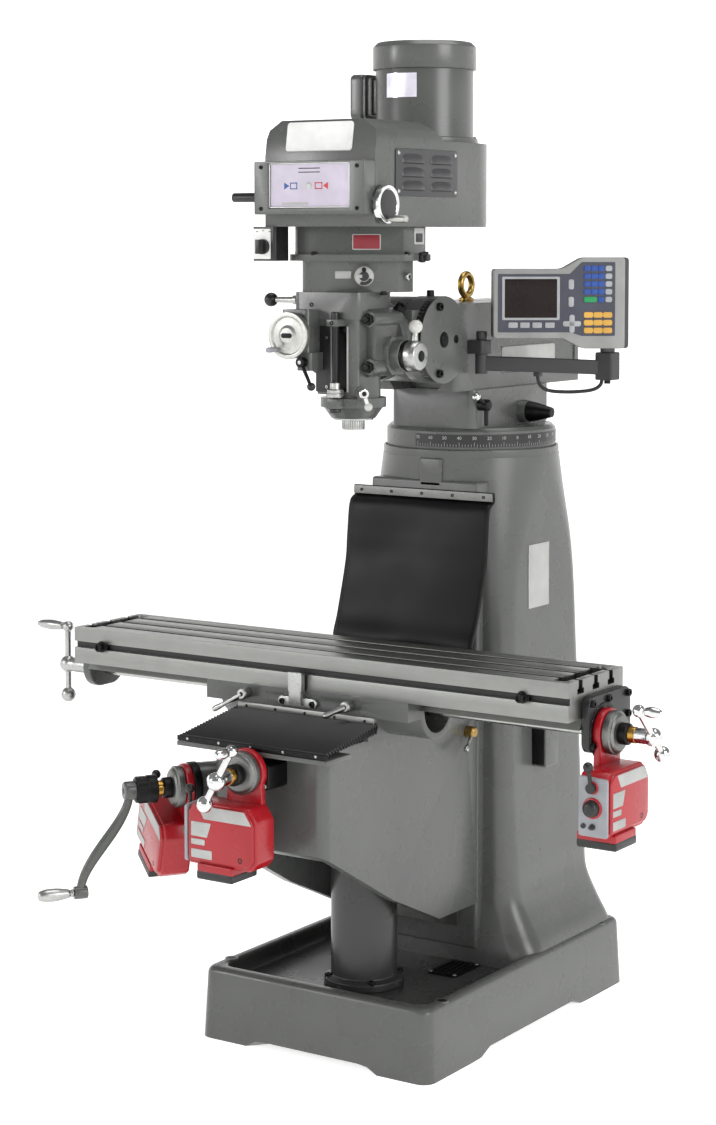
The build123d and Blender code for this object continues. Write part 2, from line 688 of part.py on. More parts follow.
with BuildPart() as belt_housing:
    extrude(housing_plan(belt_z, 0), amount=motor_z - belt_z)
    slope = [(68, belt_z - 1), (MOTOR_Y + HOUSING_HALF + 1, belt_z - 1), (MOTOR_Y + HOUSING_HALF + 1, belt_z + 75)]
    prism(Plane.YZ.offset(-HOUSING_HALF - 1), slope, 2 * HOUSING_HALF + 2, mode=Mode.SUBTRACT)
    hood = [
        (-HOUSING_HALF, motor_z),
        (-HOUSING_HALF + 6, motor_z + hood_h - hood_edge),
        (-hood_half, motor_z + hood_h),
        (hood_half, motor_z + hood_h),
        (HOUSING_HALF - 6, motor_z + hood_h - hood_edge),
        (HOUSING_HALF, motor_z),
    ]
    prism(Plane.XZ.offset(-hood_rear[1]), hood, hood_rear[1] - housing_front)
    brow = [
        (housing_front, brow_z),
        (housing_front + hood_lean, motor_z + hood_h),
        (housing_front + hood_lean, motor_z + hood_h + 9),
        (housing_front - 9, motor_z + hood_h + 9),
        (housing_front - 9, brow_z),
    ]
    prism(Plane.YZ.offset(-HOUSING_HALF - 1), brow, 2 * HOUSING_HALF + 2, mode=Mode.SUBTRACT)
    nape = [
        (hood_rear[1] + 1, motor_z),
        (hood_rear[1], motor_z),
        (hood_rear[0], motor_z + hood_h),
        (hood_rear[0], motor_z + hood_h + 9),
        (hood_rear[1] + 1, motor_z + hood_h + 9),
    ]
    prism(Plane.YZ.offset(-HOUSING_HALF - 1), nape, 2 * HOUSING_HALF + 2, mode=Mode.SUBTRACT)
    block((-HOUSING_HALF - 24, -HOUSING_HALF), (brake_at[1] - 12, brake_at[1] + 12), (brake_at[2] - 13, brake_at[2] + 13))
    add(belt_hollow.part, mode=Mode.SUBTRACT)
    block(
        (-HOUSING_HALF - 30, -HOUSING_HALF), (brake_at[1] - 20, brake_at[1] + 20), (brake_at[2] - 6, brake_at[2] + 6),
        mode=Mode.SUBTRACT,
    )
    rod((brake_at[0], brake_at[1], brake_at[2] - 13), (0, 0, 1), 4, 26)
    rod((0, SPINDLE_Y, belt_z - 1), (0, 0, 1), 24, 20, mode=Mode.SUBTRACT)
    rod((0, MOTOR_Y, motor_z - 20), (0, 0, 1), 40, 30, mode=Mode.SUBTRACT)
    rod((HOUSING_HALF - 30, *speed_at), (1, 0, 0), 8 + FIT, 40, mode=Mode.SUBTRACT)
save(belt_housing, "belt_housing")

# Front cover of the belt housing and the louvred panel on its right side
cover_t = 40.0
cover_z = (belt_z + 25, belt_z + 135)
cover_post = 37.0
cover_deep = 6.0

with BuildPart() as speed_cover:
    block((-HOUSING_HALF, HOUSING_HALF), (housing_front - cover_t, housing_front), cover_z)
    block(
        (-HOUSING_HALF + cover_post, HOUSING_HALF - cover_post),
        (housing_front - cover_t - 1, housing_front - cover_t + cover_deep),
        (cover_z[0] + 13, cover_z[1] - 4),
        mode=Mode.SUBTRACT,
    )
    block(
        (-HOUSING_HALF + 12, HOUSING_HALF - 12), (housing_front - cover_t + 14, housing_front + 1),
        (cover_z[0] + 8, cover_z[1] - 8), mode=Mode.SUBTRACT,
    )
save(speed_cover, "speed_cover")

vent_y = (-322.0, -76.0)
vent_z = (belt_z + 63, belt_z + 162)
louvre_h = 22.0

with BuildPart() as vent_panel:
    block((HOUSING_HALF, HOUSING_HALF + 3), vent_y, vent_z)
    for row in range(3):
        low = vent_z[0] + 12 + row * (louvre_h + 6)
        louvre = [(HOUSING_HALF + 3, low), (HOUSING_HALF + 9, low), (HOUSING_HALF + 3, low + louvre_h)]
        for start in (vent_y[0] + 16, sum(vent_y) / 2 + 6):
            prism(Plane.XZ.offset(-start - 100), louvre, 100)
save(vent_panel, "vent_panel")

# Motor, fan cowl and terminal box
shaft_r = 14.0
box_x = -MOTOR_R - 4

with BuildPart() as motor:
    lathe(
        (0, MOTOR_Y, motor_z),
        (0, 0, 1),
        [
            (shaft_r + FIT, 0),
            (MOTOR_R + 10, 0),
            (MOTOR_R + 10, 12),
            (MOTOR_R, 14),
            (MOTOR_R, cowl_z - motor_z),
            (0, cowl_z - motor_z),
            (0, 60),
            (shaft_r + FIT, 60),
        ],
    )
    block((box_x, 0), (MOTOR_Y - 36, MOTOR_Y + 36), (motor_z + 70, motor_z + 144))
    rod((0, MOTOR_Y, motor_z - 1), (0, 0, 1), shaft_r + FIT, 61, mode=Mode.SUBTRACT)
save(motor, "motor")

with BuildPart() as fan_cowl:
    lathe(
        (0, MOTOR_Y, cowl_z),
        (0, 0, 1),
        [(MOTOR_R - 4, 0), (MOTOR_R + 6, 0), (MOTOR_R + 6, 50), (MOTOR_R - 4, 60), (0, 60), (0, 55), (MOTOR_R - 4, 55)],
    )
    for ring in (40, 66):
        for step in range(8):
            turn = radians(step * 45)
            rod(
                (ring * cos(turn), MOTOR_Y + ring * sin(turn), cowl_z + 50), (0, 0, 1), 7, 20, mode=Mode.SUBTRACT
            )
save(fan_cowl, "fan_cowl")

with BuildPart() as terminal_box:
    rounded((box_x - 55, box_x), (MOTOR_Y - 50, MOTOR_Y + 50), (motor_z + 57, motor_z + 157), 8)
save(terminal_box, "terminal_box")

# Drum switch box under the housing, with its knob
switch_x = (-drum_half - rim - 45, -drum_half - rim + 14)
switch_y = (-400.0, drum_y[0] - rim - APART)
switch_z = belt_z - 42

with BuildPart() as switch_box:
    rounded(switch_x, switch_y, (belt_z - 72, belt_z), 6)
save(switch_box, "switch_box")

with BuildPart() as switch_knob:
    centre = (sum(switch_x) / 2, switch_y[0], switch_z)
    rod(centre, (0, -1, 0), 16, 8)
    block(
        (centre[0] - 5, centre[0] + 5), (switch_y[0] - 24, switch_y[0] - 6), (switch_z - 15, switch_z + 15)
    )
save(switch_knob, "switch_knob")

# Variable-speed pulleys and belt inside the housing
pulley_r = 75.0
groove_r = 45.0
pulley_z = belt_z + 34
pulley_h = 80.0
belt_r = (56.0, 68.0)
belt_half = 18.0


def pulley(centre_y, bore, low, high):
    """A V pulley with a hub that reaches from low to high."""
    middle = pulley_h / 2
    lathe(
        (0, centre_y, pulley_z),
        (0, 0, 1),
        [
            (bore, low),
            (30, low),
            (30, 0),
            (pulley_r, 0),
            (pulley_r, 10),
            (groove_r, middle - 12),
            (groove_r, middle + 12),
            (pulley_r, pulley_h - 10),
            (pulley_r, pulley_h),
            (30, pulley_h),
            (30, high),
            (bore, high),
        ],
    )


with BuildPart() as spindle_pulley:
    pulley(SPINDLE_Y, DRIVE_R + FIT, belt_z + 10 - pulley_z, pulley_h + 10)
save(spindle_pulley, "spindle_pulley")

with BuildPart() as motor_pulley:
    pulley(MOTOR_Y, 0, -10, motor_z - pulley_z)
    rod((0, MOTOR_Y, motor_z - 20), (0, 0, 1), shaft_r, 75)
save(motor_pulley, "motor_pulley")

with BuildPart() as drive_belt:
    with BuildSketch(Plane.XY.offset(pulley_z + pulley_h / 2 - belt_half)) as loop:
        with Locations(Location((0, (SPINDLE_Y + MOTOR_Y) / 2), 90)):
            SlotCenterToCenter(MOTOR_Y - SPINDLE_Y, 2 * belt_r[1])
            SlotCenterToCenter(MOTOR_Y - SPINDLE_Y, 2 * belt_r[0], mode=Mode.SUBTRACT)
    extrude(loop.sketch, amount=2 * belt_half)
save(drive_belt, "drive_belt")

# Speed handwheel on the right of the housing
with BuildPart() as speed_handwheel:
    lathe(
        (HOUSING_HALF - 26, *speed_at),
        (1, 0, 0),
        [(0, 0), (8, 0), (8, 26), (16, 26), (16, 36), (30, 38), (32, 32), (40, 32), (40, 46), (32, 46), (26, 44), (0, 46)],
    )
    rod((HOUSING_HALF + 18, speed_at[0], speed_at[1] - 30), (1, 0, 0), 8, 45)
save(speed_handwheel, "speed_handwheel")

# Range dial on the gear case corner
with BuildPart() as range_lever:
    rod(dial_spot(-16), dial_way, 6, 20)
    rod(dial_spot(3), dial_way, 21, 11)
    grip_end = Vector(*dial_spot(8)) + Vector(0, 0, 14)
    rod(tuple(grip_end), dial_way, 5, 22)
save(range_lever, "range_lever")

# Brake lever on a pin in the housing's fork
with BuildPart() as brake_lever:
    rod((brake_at[0], brake_at[1], brake_at[2] - 6 + SLIDE), (0, 0, 1), 9, 12 - 2 * SLIDE)
    rod(brake_at, (-1, 0, 0), 5, 40)
    rod((brake_at[0] - 28, brake_at[1], brake_at[2]), (-1, 0, 0), 10, 62)
    rod((brake_at[0], brake_at[1], brake_at[2] - 20), (0, 0, 1), 4 + FIT, 40, mode=Mode.SUBTRACT)
save(brake_lever, "brake_lever")

# Knob that engages the quill feed
with BuildPart() as feed_engage_knob:
    rod((-72, *engage_at), (-1, 0, 0), 7, 110)
    rod((engage_face, *engage_at), (-1, 0, 0), 10, 12)
    ball((-192, *engage_at), 17, 90)
save(feed_engage_knob, "feed_engage_knob")

# Fine feed handwheel at the left front of the head
with BuildPart() as fine_feed_wheel:
    lathe(
        (worm_x, worm_face + 38, worm_z),
        (0, -1, 0),
        [(0, 0), (8, 0), (8, 38), (15, 38), (15, 50), (42, 50), (42, 48), (50, 48), (50, 62), (42, 62), (42, 58), (15, 60), (15, 66), (0, 66)],
    )
    rod((worm_x - 30, worm_face - 20, worm_z - 30), (0, -1, 0), 6, 34)
save(fine_feed_wheel, "fine_feed_wheel")

# Feed trip lever
with BuildPart() as feed_trip_lever:
    rod((trip_at[0], trip_at[1] + 22, trip_at[2]), (0, -1, 0), 6, 24)
    rod(trip_at, (0, -1, 0), 11, 16)
    bar((trip_at[0], trip_at[1] - 10, trip_at[2]), (trip_at[0] + 28, trip_at[1] - 14, trip_at[2] - 48), 4)
    ball((trip_at[0] + 29, trip_at[1] - 14, trip_at[2] - 50), 9)
save(feed_trip_lever, "feed_trip_lever")

# Depth stop screw and its nut at the front of the head
with BuildPart() as depth_stop_screw:
    rod((*stop_at, barrel_low - foot_h - 1), (0, 0, 1), stop_r, front_top + 17 - barrel_low + foot_h)
    rod((*stop_at, barrel_low - foot_h - 9), (0, 0, 1), 13, 8.5)
save(depth_stop_screw, "depth_stop_screw")

nut_z = stop_z[0] + 3

with BuildPart() as stop_nut:
    rod((*stop_at, nut_z), (0, 0, 1), 17, 18)
    rod((*stop_at, nut_z + 18), (0, 0, 1), 11, 14)
    rod((*stop_at, nut_z - 1), (0, 0, 1), stop_r + FIT, 40, mode=Mode.SUBTRACT)
save(stop_nut, "stop_nut")

# Quill lock lever
with BuildPart() as quill_lock_lever:
    rod(quill_lock_at, (-lock_way[0], -lock_way[1], 0), 6, 16)
    rod(quill_lock_at, lock_way, 11, 20)
    grip_from = Vector(*quill_lock_at) + Vector(*lock_way) * 14
    grip_to = grip_from + Vector(-lock_way[1], lock_way[0], 0) * 10 + Vector(0, 0, -28)
    bar(tuple(grip_from), tuple(grip_to), 4)
    ball(tuple(grip_to), 9)
save(quill_lock_lever, "quill_lock_lever")

# Quill feed hub with its lever
with BuildPart() as quill_feed_lever:
    lathe(
        (52, *pinion_at),
        (1, 0, 0),
        [(0, 0), (SCREW_R, 0), (SCREW_R, 36), (34, 36), (34, 48), (27, 52), (27, 94), (22, 98), (0, 98)],
    )
    bar((128, *pinion_at), (132, pinion_at[0], pinion_at[1] + 56), 6)
    ball((133, pinion_at[0], pinion_at[1] + 62), 15)
save(quill_feed_lever, "quill_feed_lever")

# Knee: a hollow casting open below, with a slot for the column way and a groove for the saddle
groove_half = 80.0
groove_root = 62.0
groove_h = 22.0
roof = KNEE_TOP - 44
nut_slot = 45.0
knee_rear_wall = PAD_Y - 64
trough_rear = knee_rear_wall
trough_front = table_front + 12 - CROSS_OUT - 6
shelf_front = KNEE_FRONT - 60
crank_way = (-sin(radians(KNEE_CRANK_TURN)), -cos(radians(KNEE_CRANK_TURN)), 0)
boss_out = 380.0
boss_r = 48.0
lock_hub = (KNEE_HALF, PAD_Y - 44, KNEE_TOP - 49)


def along_crank(out, z=drive_z):
    """A point on the knee crank's shaft, a distance out from the elevating screw."""
    return (crank_way[0] * out, LIFT_Y + crank_way[1] * out, z)


with BuildPart() as knee:
    side = [
        (PAD_Y, KNEE_LOW - 2),
        (-144, KNEE_LOW),
        (-330, KNEE_LOW + 84),
        (KNEE_FRONT, KNEE_LOW + 227),
        (KNEE_FRONT, KNEE_TOP),
        (PAD_Y, KNEE_TOP),
    ]
    prism(Plane.YZ.offset(-KNEE_HALF), side, 2 * KNEE_HALF)
    fillet(knee.edges().filter_by(Axis.Z).group_by(Axis.Y)[0], 22)
    block((-186, 186), (shelf_front, KNEE_FRONT + 30), (KNEE_TOP - 9, KNEE_TOP))
    rod(along_crank(180), crank_way, boss_r, boss_out - 180)
    block((-KNEE_HALF + 22, KNEE_HALF - 22), (KNEE_FRONT + 25, knee_rear_wall), (0, roof), mode=Mode.SUBTRACT)
    block((-KNEE_HALF + 22, KNEE_HALF - 22), (LIFT_Y - 50, LIFT_Y + 50), (drive_z + 30, drive_z + 60))
    slot = [
        (-WAY_ROOT - SLIDE, PAD_Y + 2),
        (-WAY_HALF - SLIDE, PAD_Y - WAY_DEEP - SLIDE),
        (WAY_HALF + SLIDE, PAD_Y - WAY_DEEP - SLIDE),
        (WAY_ROOT + SLIDE, PAD_Y + 2),
    ]
    prism(Plane.XY.offset(KNEE_LOW - 10), slot, KNEE_TOP, mode=Mode.SUBTRACT)
    trough = [
        (-groove_root, KNEE_TOP + 1),
        (-groove_half, KNEE_TOP - groove_h),
        (groove_half, KNEE_TOP - groove_h),
        (groove_root, KNEE_TOP + 1),
    ]
    prism(Plane.XZ.offset(-trough_rear), trough, trough_rear - trough_front, mode=Mode.SUBTRACT)
    block((-nut_slot, nut_slot), (KNEE_FRONT + 25, -110), (roof - 1, KNEE_TOP), mode=Mode.SUBTRACT)
    rod((0, KNEE_FRONT - 10, cross_z), (0, 1, 0), SCREW_R + FIT, 60, mode=Mode.SUBTRACT)
    rod((0, LIFT_Y, drive_z), (0, 0, 1), SCREW_R + FIT, 70, mode=Mode.SUBTRACT)
    rod(along_crank(150), crank_way, SCREW_R + FIT, boss_out - 140, mode=Mode.SUBTRACT)
    rod((KNEE_HALF - 18, *lock_hub[1:]), (1, 0, 0), 7 + FIT, 20, mode=Mode.SUBTRACT)
save(knee, "knee")

# Elevating screw with its bevel gear
with BuildPart() as elevating_screw:
    lathe(
        (0, LIFT_Y, 0),
        (0, 0, 1),
        [
            (0, PAN_Z + 8),
            (LIFT_R, PAN_Z + 8),
            (LIFT_R, pedestal_top + 5),
            (46, pedestal_top + 5),
            (46, pedestal_top + 11),
            (34, pedestal_top + 18),
            (LIFT_R, pedestal_top + 18),
            (LIFT_R, drive_z + 30),
            (SCREW_R, drive_z + 30),
            (SCREW_R, drive_z + 58),
            (0, drive_z + 58),
        ],
    )
save(elevating_screw, "elevating_screw")

with BuildPart() as knee_lock_lever:
    rod((KNEE_HALF - 16, *lock_hub[1:]), (1, 0, 0), 7, 18)
    rod(lock_hub, (1, 0, 0), 13, 22)
    bar((KNEE_HALF + 14, *lock_hub[1:]), (KNEE_HALF + 24, lock_hub[1] - 40, lock_hub[2] - 28), 5)
    ball((KNEE_HALF + 24, lock_hub[1] - 42, lock_hub[2] - 29), 7)
save(knee_lock_lever, "knee_lock_lever")

# Power feed units, one for each direction; right, up and out are the directions of their planes
unit_back = -28.0
unit_face = 43.0
panel_r = -112.0
lever_at = (-88.0, 8.0)
dial_half = 12.0


def feed_unit(plane):
    """Gearmotor body, neck round the shaft, end block, control panel and its knobs."""
    brick(plane, (-105, 65), (-190, -60), (unit_back, unit_face))
    rod(spot(plane, 0, 0, unit_back), plane.z_dir, 48, -dial_half - unit_back)
    brick(plane, (-48, 48), (-70, 0), (unit_back, -dial_half))
    brick(plane, (-80, 10), (-218, -180), (unit_back - 17, unit_face))
    brick(plane, (panel_r, -100), (-186, -66), (-24, 40))
    rod(spot(plane, panel_r, -128, 8), -plane.x_dir, 17, 20)
    rod(spot(plane, panel_r, -165, 8), -plane.x_dir, 6, 12)
    rod(spot(plane, panel_r, *lever_at), plane.x_dir, 5 + FIT, 18, mode=Mode.SUBTRACT)


def unit_bore(plane):
    """The hole for the hand shaft, cut last."""
    rod(spot(plane, 0, 0, unit_back - 90), plane.z_dir, SCREW_R + FIT, 140, mode=Mode.SUBTRACT)


def feed_lever(plane):
    """Direction lever of a feed unit, with a ball."""
    rod(spot(plane, panel_r + 16, *lever_at), -plane.x_dir, 5, 18)
    rod(spot(plane, panel_r, *lever_at), -plane.x_dir, 10, 12)
    top = spot(plane, panel_r - 12, lever_at[0] + 42, lever_at[1] - 4)
    bar(spot(plane, panel_r - 7, *lever_at), top, 4)
    ball(top, 10)


def hand_shaft(plane, inner, hub_end):
    """Shaft with its dial, nut and crank hub, from an inner end to the hub's outer face."""
    lathe(
        tuple(plane.origin),
        plane.z_dir,
        [
            (0, inner),
            (SCREW_R, inner),
            (SCREW_R, SLIDE - dial_half),
            (44, SLIDE - dial_half),
            (44, dial_half),
            (22, dial_half),
            (22, 45),
            (16, 45),
            (16, hub_end),
            (0, hub_end),
        ],
    )


def ball_crank(plane, tip, weight, out, grip):
    """Arm across the hub with a grip at one end and a ball at the other."""
    bar(spot(plane, *tip, out), spot(plane, *weight, out), 8)
    ball(spot(plane, *weight, out), 17)
    ball(spot(plane, *tip, out), 13)
    lathe(
        spot(plane, *tip, out),
        plane.z_dir,
        [(0, 0), (7, 0), (7, 12), (10, 16), (12, grip - 16), (8, grip), (0, grip)],
    )


x_plane = Plane(origin=(table_end + 45.5, TABLE_Y, feed_z), x_dir=(0, 1, 0), z_dir=(1, 0, 0))
y_plane = Plane(origin=(0, KNEE_FRONT - 94, cross_z), x_dir=(1, 0, 0), z_dir=(0, -1, 0))
z_right = Vector(-crank_way[1], crank_way[0], 0)
roll = radians(KNEE_CRANK_ROLL)
z_origin = along_crank(boss_out + 45)
z_plane = Plane(origin=z_origin, x_dir=z_right * cos(roll) - Vector(0, 0, sin(roll)), z_dir=crank_way)
z_upright = Plane(origin=z_origin, x_dir=z_right, z_dir=crank_way)

with BuildPart() as x_feed_unit:
    feed_unit(x_plane)
    unit_bore(x_plane)
save(x_feed_unit, "x_feed_unit")

with BuildPart() as y_feed_unit:
    feed_unit(y_plane)
    brick(y_plane, (-50, 50), (-36, CROSS_DROP - groove_h - 1), (unit_back - 66, unit_back))
    unit_bore(y_plane)
save(y_feed_unit, "y_feed_unit")

with BuildPart() as z_feed_unit:
    feed_unit(z_plane)
    rod(spot(z_plane, 0, 0, -45), z_plane.z_dir, 50, 45 + unit_back)
    unit_bore(z_plane)
save(z_feed_unit, "z_feed_unit")

with BuildPart() as x_feed_lever:
    feed_lever(x_plane)
save(x_feed_lever, "x_feed_lever")

with BuildPart() as y_feed_lever:
    feed_lever(y_plane)
save(y_feed_lever, "y_feed_lever")

with BuildPart() as z_feed_lever:
    feed_lever(z_plane)
save(z_feed_lever, "z_feed_lever")

# Knee crank: bevel pinion, shaft, dial, coupling and a bent arm with a loose grip
arm_start = 102.0
arm_offset = 106.0
arm_drop = -205.0

with BuildPart() as knee_crank:
    inner = 24 - boss_out - 45
    lathe(
        z_origin,
        crank_way,
        [
            (0, inner),
            (14, inner),
            (24, inner + 20),
            (SCREW_R, inner + 20),
            (SCREW_R, SLIDE - dial_half),
            (44, SLIDE - dial_half),
            (44, dial_half),
            (22, dial_half),
            (22, 45),
            (30, 45),
            (30, 90),
            (20, 90),
            (20, 115),
            (0, 115),
        ],
    )
    with BuildLine() as arm_line:
        Spline(
            spot(z_upright, 0, -8, arm_start),
            spot(z_upright, 0, arm_drop, arm_start + arm_offset),
            tangents=[(0, 0, -1), (0, 0, -1)],
        )
    with BuildSketch(Plane(origin=spot(z_upright, 0, -8, arm_start), z_dir=(0, 0, -1))) as arm_face:
        Circle(9)
    sweep(arm_face.sketch, path=arm_line.line)
    lathe(
        spot(z_upright, 0, arm_drop, arm_start + arm_offset - 14),
        crank_way,
        [(0, 0), (14, 0), (14, 28), (9, 30), (13, 40), (14, 90), (10, 106), (0, 106)],
    )
save(knee_crank, "knee_crank")

# Cross screw with its dial and ball crank
with BuildPart() as cross_crank:
    hand_shaft(y_plane, KNEE_FRONT - 94 + 115, 96)
    ball_crank(y_plane, (40, 64), (-26, -51), 83, 52)
save(cross_crank, "cross_crank")

# Front bellows between the knee shelf and the saddle
saddle_front = table_front
apron_z = saddle_top - 40
body_front = saddle_front + 12
pleats = 20
bellows_half = 180.0
bellows_t = 6.0

with BuildPart() as bellows:
    fold_from = saddle_front + 4
    fold_to = shelf_front + 2
    upper = []
    for step in range(2 * pleats + 1):
        part_way = step / (2 * pleats)
        crest = KNEE_TOP + 44 - 29 * part_way
        trough_z = KNEE_TOP + 25 - 17 * part_way
        upper.append((fold_from + (fold_to - fold_from) * part_way, trough_z if step % 2 else crest))
    lower = [(y, z - bellows_t) for y, z in reversed(upper)]
    prism(Plane.YZ.offset(-bellows_half), upper + lower, 2 * bellows_half)
    block((-172, 172), (saddle_front, body_front), (apron_z - 16, apron_z))
    block((-186, 186), (shelf_front, shelf_front + 4), (KNEE_TOP, KNEE_TOP + 14))
save(bellows, "bellows")

# Saddle: wings, a barrel with the screw tunnel, the table's dovetail groove and its own dovetail below
saddle_rear = -205.0
table_root = 55.0
table_foot = 70.0
foot_z = saddle_top - 22
tunnel_r = 52.0
web_half = 40.0

with BuildPart() as saddle:
    block((-150, 150), (body_front, saddle_rear), (KNEE_TOP, saddle_top))
    block((-SADDLE_HALF, SADDLE_HALF), (saddle_front, saddle_rear - 10), (apron_z, saddle_top))
    rod((-SADDLE_HALF, TABLE_Y, KNEE_TOP + 66), (1, 0, 0), 66, 2 * SADDLE_HALF)
    block((-SADDLE_HALF, SADDLE_HALF), (-500, -100), (saddle_top, saddle_top + 100), mode=Mode.SUBTRACT)
    tail = [
        (-groove_root + SLIDE, KNEE_TOP),
        (-groove_half + SLIDE, KNEE_TOP - groove_h + SLIDE),
        (groove_half - SLIDE, KNEE_TOP - groove_h + SLIDE),
        (groove_root - SLIDE, KNEE_TOP),
    ]
    prism(Plane.XZ.offset(-saddle_rear), tail, saddle_rear - body_front)
    block((-38, 38), (TABLE_Y - 22, TABLE_Y + 22), (cross_z - 16, KNEE_TOP))
    rod((0, TABLE_Y - 40, cross_z), (0, 1, 0), SCREW_R + FIT, 80, mode=Mode.SUBTRACT)
    mouth = [
        (TABLE_Y - table_root - SLIDE, saddle_top + 1),
        (TABLE_Y - table_foot - SLIDE, foot_z - SLIDE),
        (TABLE_Y + table_foot + SLIDE, foot_z - SLIDE),
        (TABLE_Y + table_root + SLIDE, saddle_top + 1),
    ]
    prism(Plane.YZ.offset(-SADDLE_HALF - 1), mouth, 2 * SADDLE_HALF + 2, mode=Mode.SUBTRACT)
    for start in (-SADDLE_HALF - 1, web_half):
        rod((start, TABLE_Y, KNEE_TOP + 66), (1, 0, 0), tunnel_r, SADDLE_HALF + 1 - web_half, mode=Mode.SUBTRACT)
    rod((-web_half - 1, TABLE_Y, feed_z), (1, 0, 0), SCREW_R + FIT, 2 * web_half + 2, mode=Mode.SUBTRACT)
    for lock_x in (-147, 115):
        rod((lock_x, saddle_front - 1, saddle_top - 19), (0, 1, 0), 6 + FIT, 19, mode=Mode.SUBTRACT)
save(saddle, "saddle")


def table_lock(x, tip):
    """Table lock screw with a short lever; tip is the lever's end from its hub."""
    at = (x, saddle_front, saddle_top - 19)
    lathe(at, (0, -1, 0), [(0, -16), (6, -16), (6, 0), (12, 0), (12, 24), (0, 24)])
    end = (x + tip[0], saddle_front + tip[1], at[2] + tip[2])
    bar((x, saddle_front - 16, at[2]), end, 5)
    ball(end, 7, 180)


with BuildPart() as table_lock_left:
    table_lock(-147, (-68, -24, -38))
save(table_lock_left, "table_lock_left")

with BuildPart() as table_lock_right:
    table_lock(115, (-34, -40, -18))
save(table_lock_right, "table_lock_right")

stop_x = -13.0

with BuildPart() as stop_bracket:
    rounded((stop_x - 17, stop_x + 17), (saddle_front - 18, saddle_front), (apron_z + 10, saddle_top), 4)
    block((stop_x - 17, stop_x + 17), (saddle_front - 18, saddle_front - 6), (saddle_top, saddle_top + 39))
save(stop_bracket, "stop_bracket")

# Table with three T-slots, drain troughs at its ends, a groove for the dogs and its dovetail
slot_pitch = 63.5
slot_half = 8.0
slot_foot = 14.0
dog_z = (table_top - 44.7, table_top - 30.7)

with BuildPart() as table:
    block((-table_end, table_end), (table_front, table_front + TABLE_W), (saddle_top, table_top))
    foot = [
        (TABLE_Y - table_root, saddle_top),
        (TABLE_Y - table_foot, foot_z),
        (TABLE_Y + table_foot, foot_z),
        (TABLE_Y + table_root, saddle_top),
    ]
    prism(Plane.YZ.offset(-table_end), foot, TABLE_L)
    rod((-table_end - 1, TABLE_Y, feed_z), (1, 0, 0), SCREW_R + 6, TABLE_L + 2, mode=Mode.SUBTRACT)
    for row in (-1, 0, 1):
        y = TABLE_Y + row * slot_pitch
        tee = [
            (y - slot_half, table_top + 1),
            (y - slot_half, table_top - 17),
            (y - slot_foot, table_top - 17),
            (y - slot_foot, table_top - 28),
            (y + slot_foot, table_top - 28),
            (y + slot_foot, table_top - 17),
            (y + slot_half, table_top - 17),
            (y + slot_half, table_top + 1),
        ]
        prism(Plane.YZ.offset(-table_end - 1), tee, TABLE_L + 2, mode=Mode.SUBTRACT)
    for start in (-table_end + 14, table_end - 44):
        rounded(
            (start, start + 30), (table_front + 14, table_front + TABLE_W - 14), (table_top - 10, table_top + 1), 8,
            mode=Mode.SUBTRACT,
        )
    block((-table_end - 1, table_end + 1), (table_front - 1, table_front + 9), dog_z, mode=Mode.SUBTRACT)
save(table, "table")


def stop_dog(x):
    """Stop dog: a key in the table's front groove with its head outside."""
    block((x - 15, x + 15), (table_front, table_front + 8.8), (dog_z[0] + SLIDE, dog_z[1] - SLIDE))
    rounded((x - 15, x + 15), (table_front - 15, table_front), (dog_z[0] - 6, dog_z[1] + 6), 4)


with BuildPart() as stop_dog_left:
    stop_dog(77.5 - table_end)
save(stop_dog_left, "stop_dog_left")

with BuildPart() as stop_dog_right:
    stop_dog(table_end - 102.5)
save(stop_dog_right, "stop_dog_right")

# End brackets: a U-shaped one on the left and the feed unit's plate on the right
plate_t = 17.5

with BuildPart() as end_brackets:
    with BuildSketch(Plane.YZ.offset(-table_end - 22.5)) as left_face:
        with Locations((TABLE_Y, (saddle_top + feed_z) / 2 + 10)):
            RectangleRounded(124, 124, 44)
    extrude(left_face.sketch, amount=22.5)
    rod((-table_end - 22, TABLE_Y, feed_z), (-1, 0, 0), 30, 20)
    block((table_end, table_end + plate_t), (TABLE_Y - 62, TABLE_Y + 116), (feed_z - 37, feed_z + 75))
    rod((-table_end - 60, TABLE_Y, feed_z), (1, 0, 0), SCREW_R + FIT, TABLE_L + 100, mode=Mode.SUBTRACT)
save(end_brackets, "end_brackets")

# Table screw with the right dial and a ball crank at each end
left_plane = Plane(origin=(-table_end - 42.5, TABLE_Y, feed_z), x_dir=(0, -1, 0), z_dir=(-1, 0, 0))

with BuildPart() as table_screw:
    hand_shaft(x_plane, -TABLE_L - 88, 96)
    ball_crank(x_plane, (-62, 62), (41, -41), 81, 50)
    rod(tuple(left_plane.origin), left_plane.z_dir, 17, 90)
    ball_crank(left_plane, (0, 86), (0, -71), 74, 89)
save(table_screw, "table_screw")
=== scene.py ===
"""Knee and column milling machine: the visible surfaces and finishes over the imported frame.

Lengths are metres in the frame's own axes: +X right along the table, -Y to the operator, +Z up.
"""

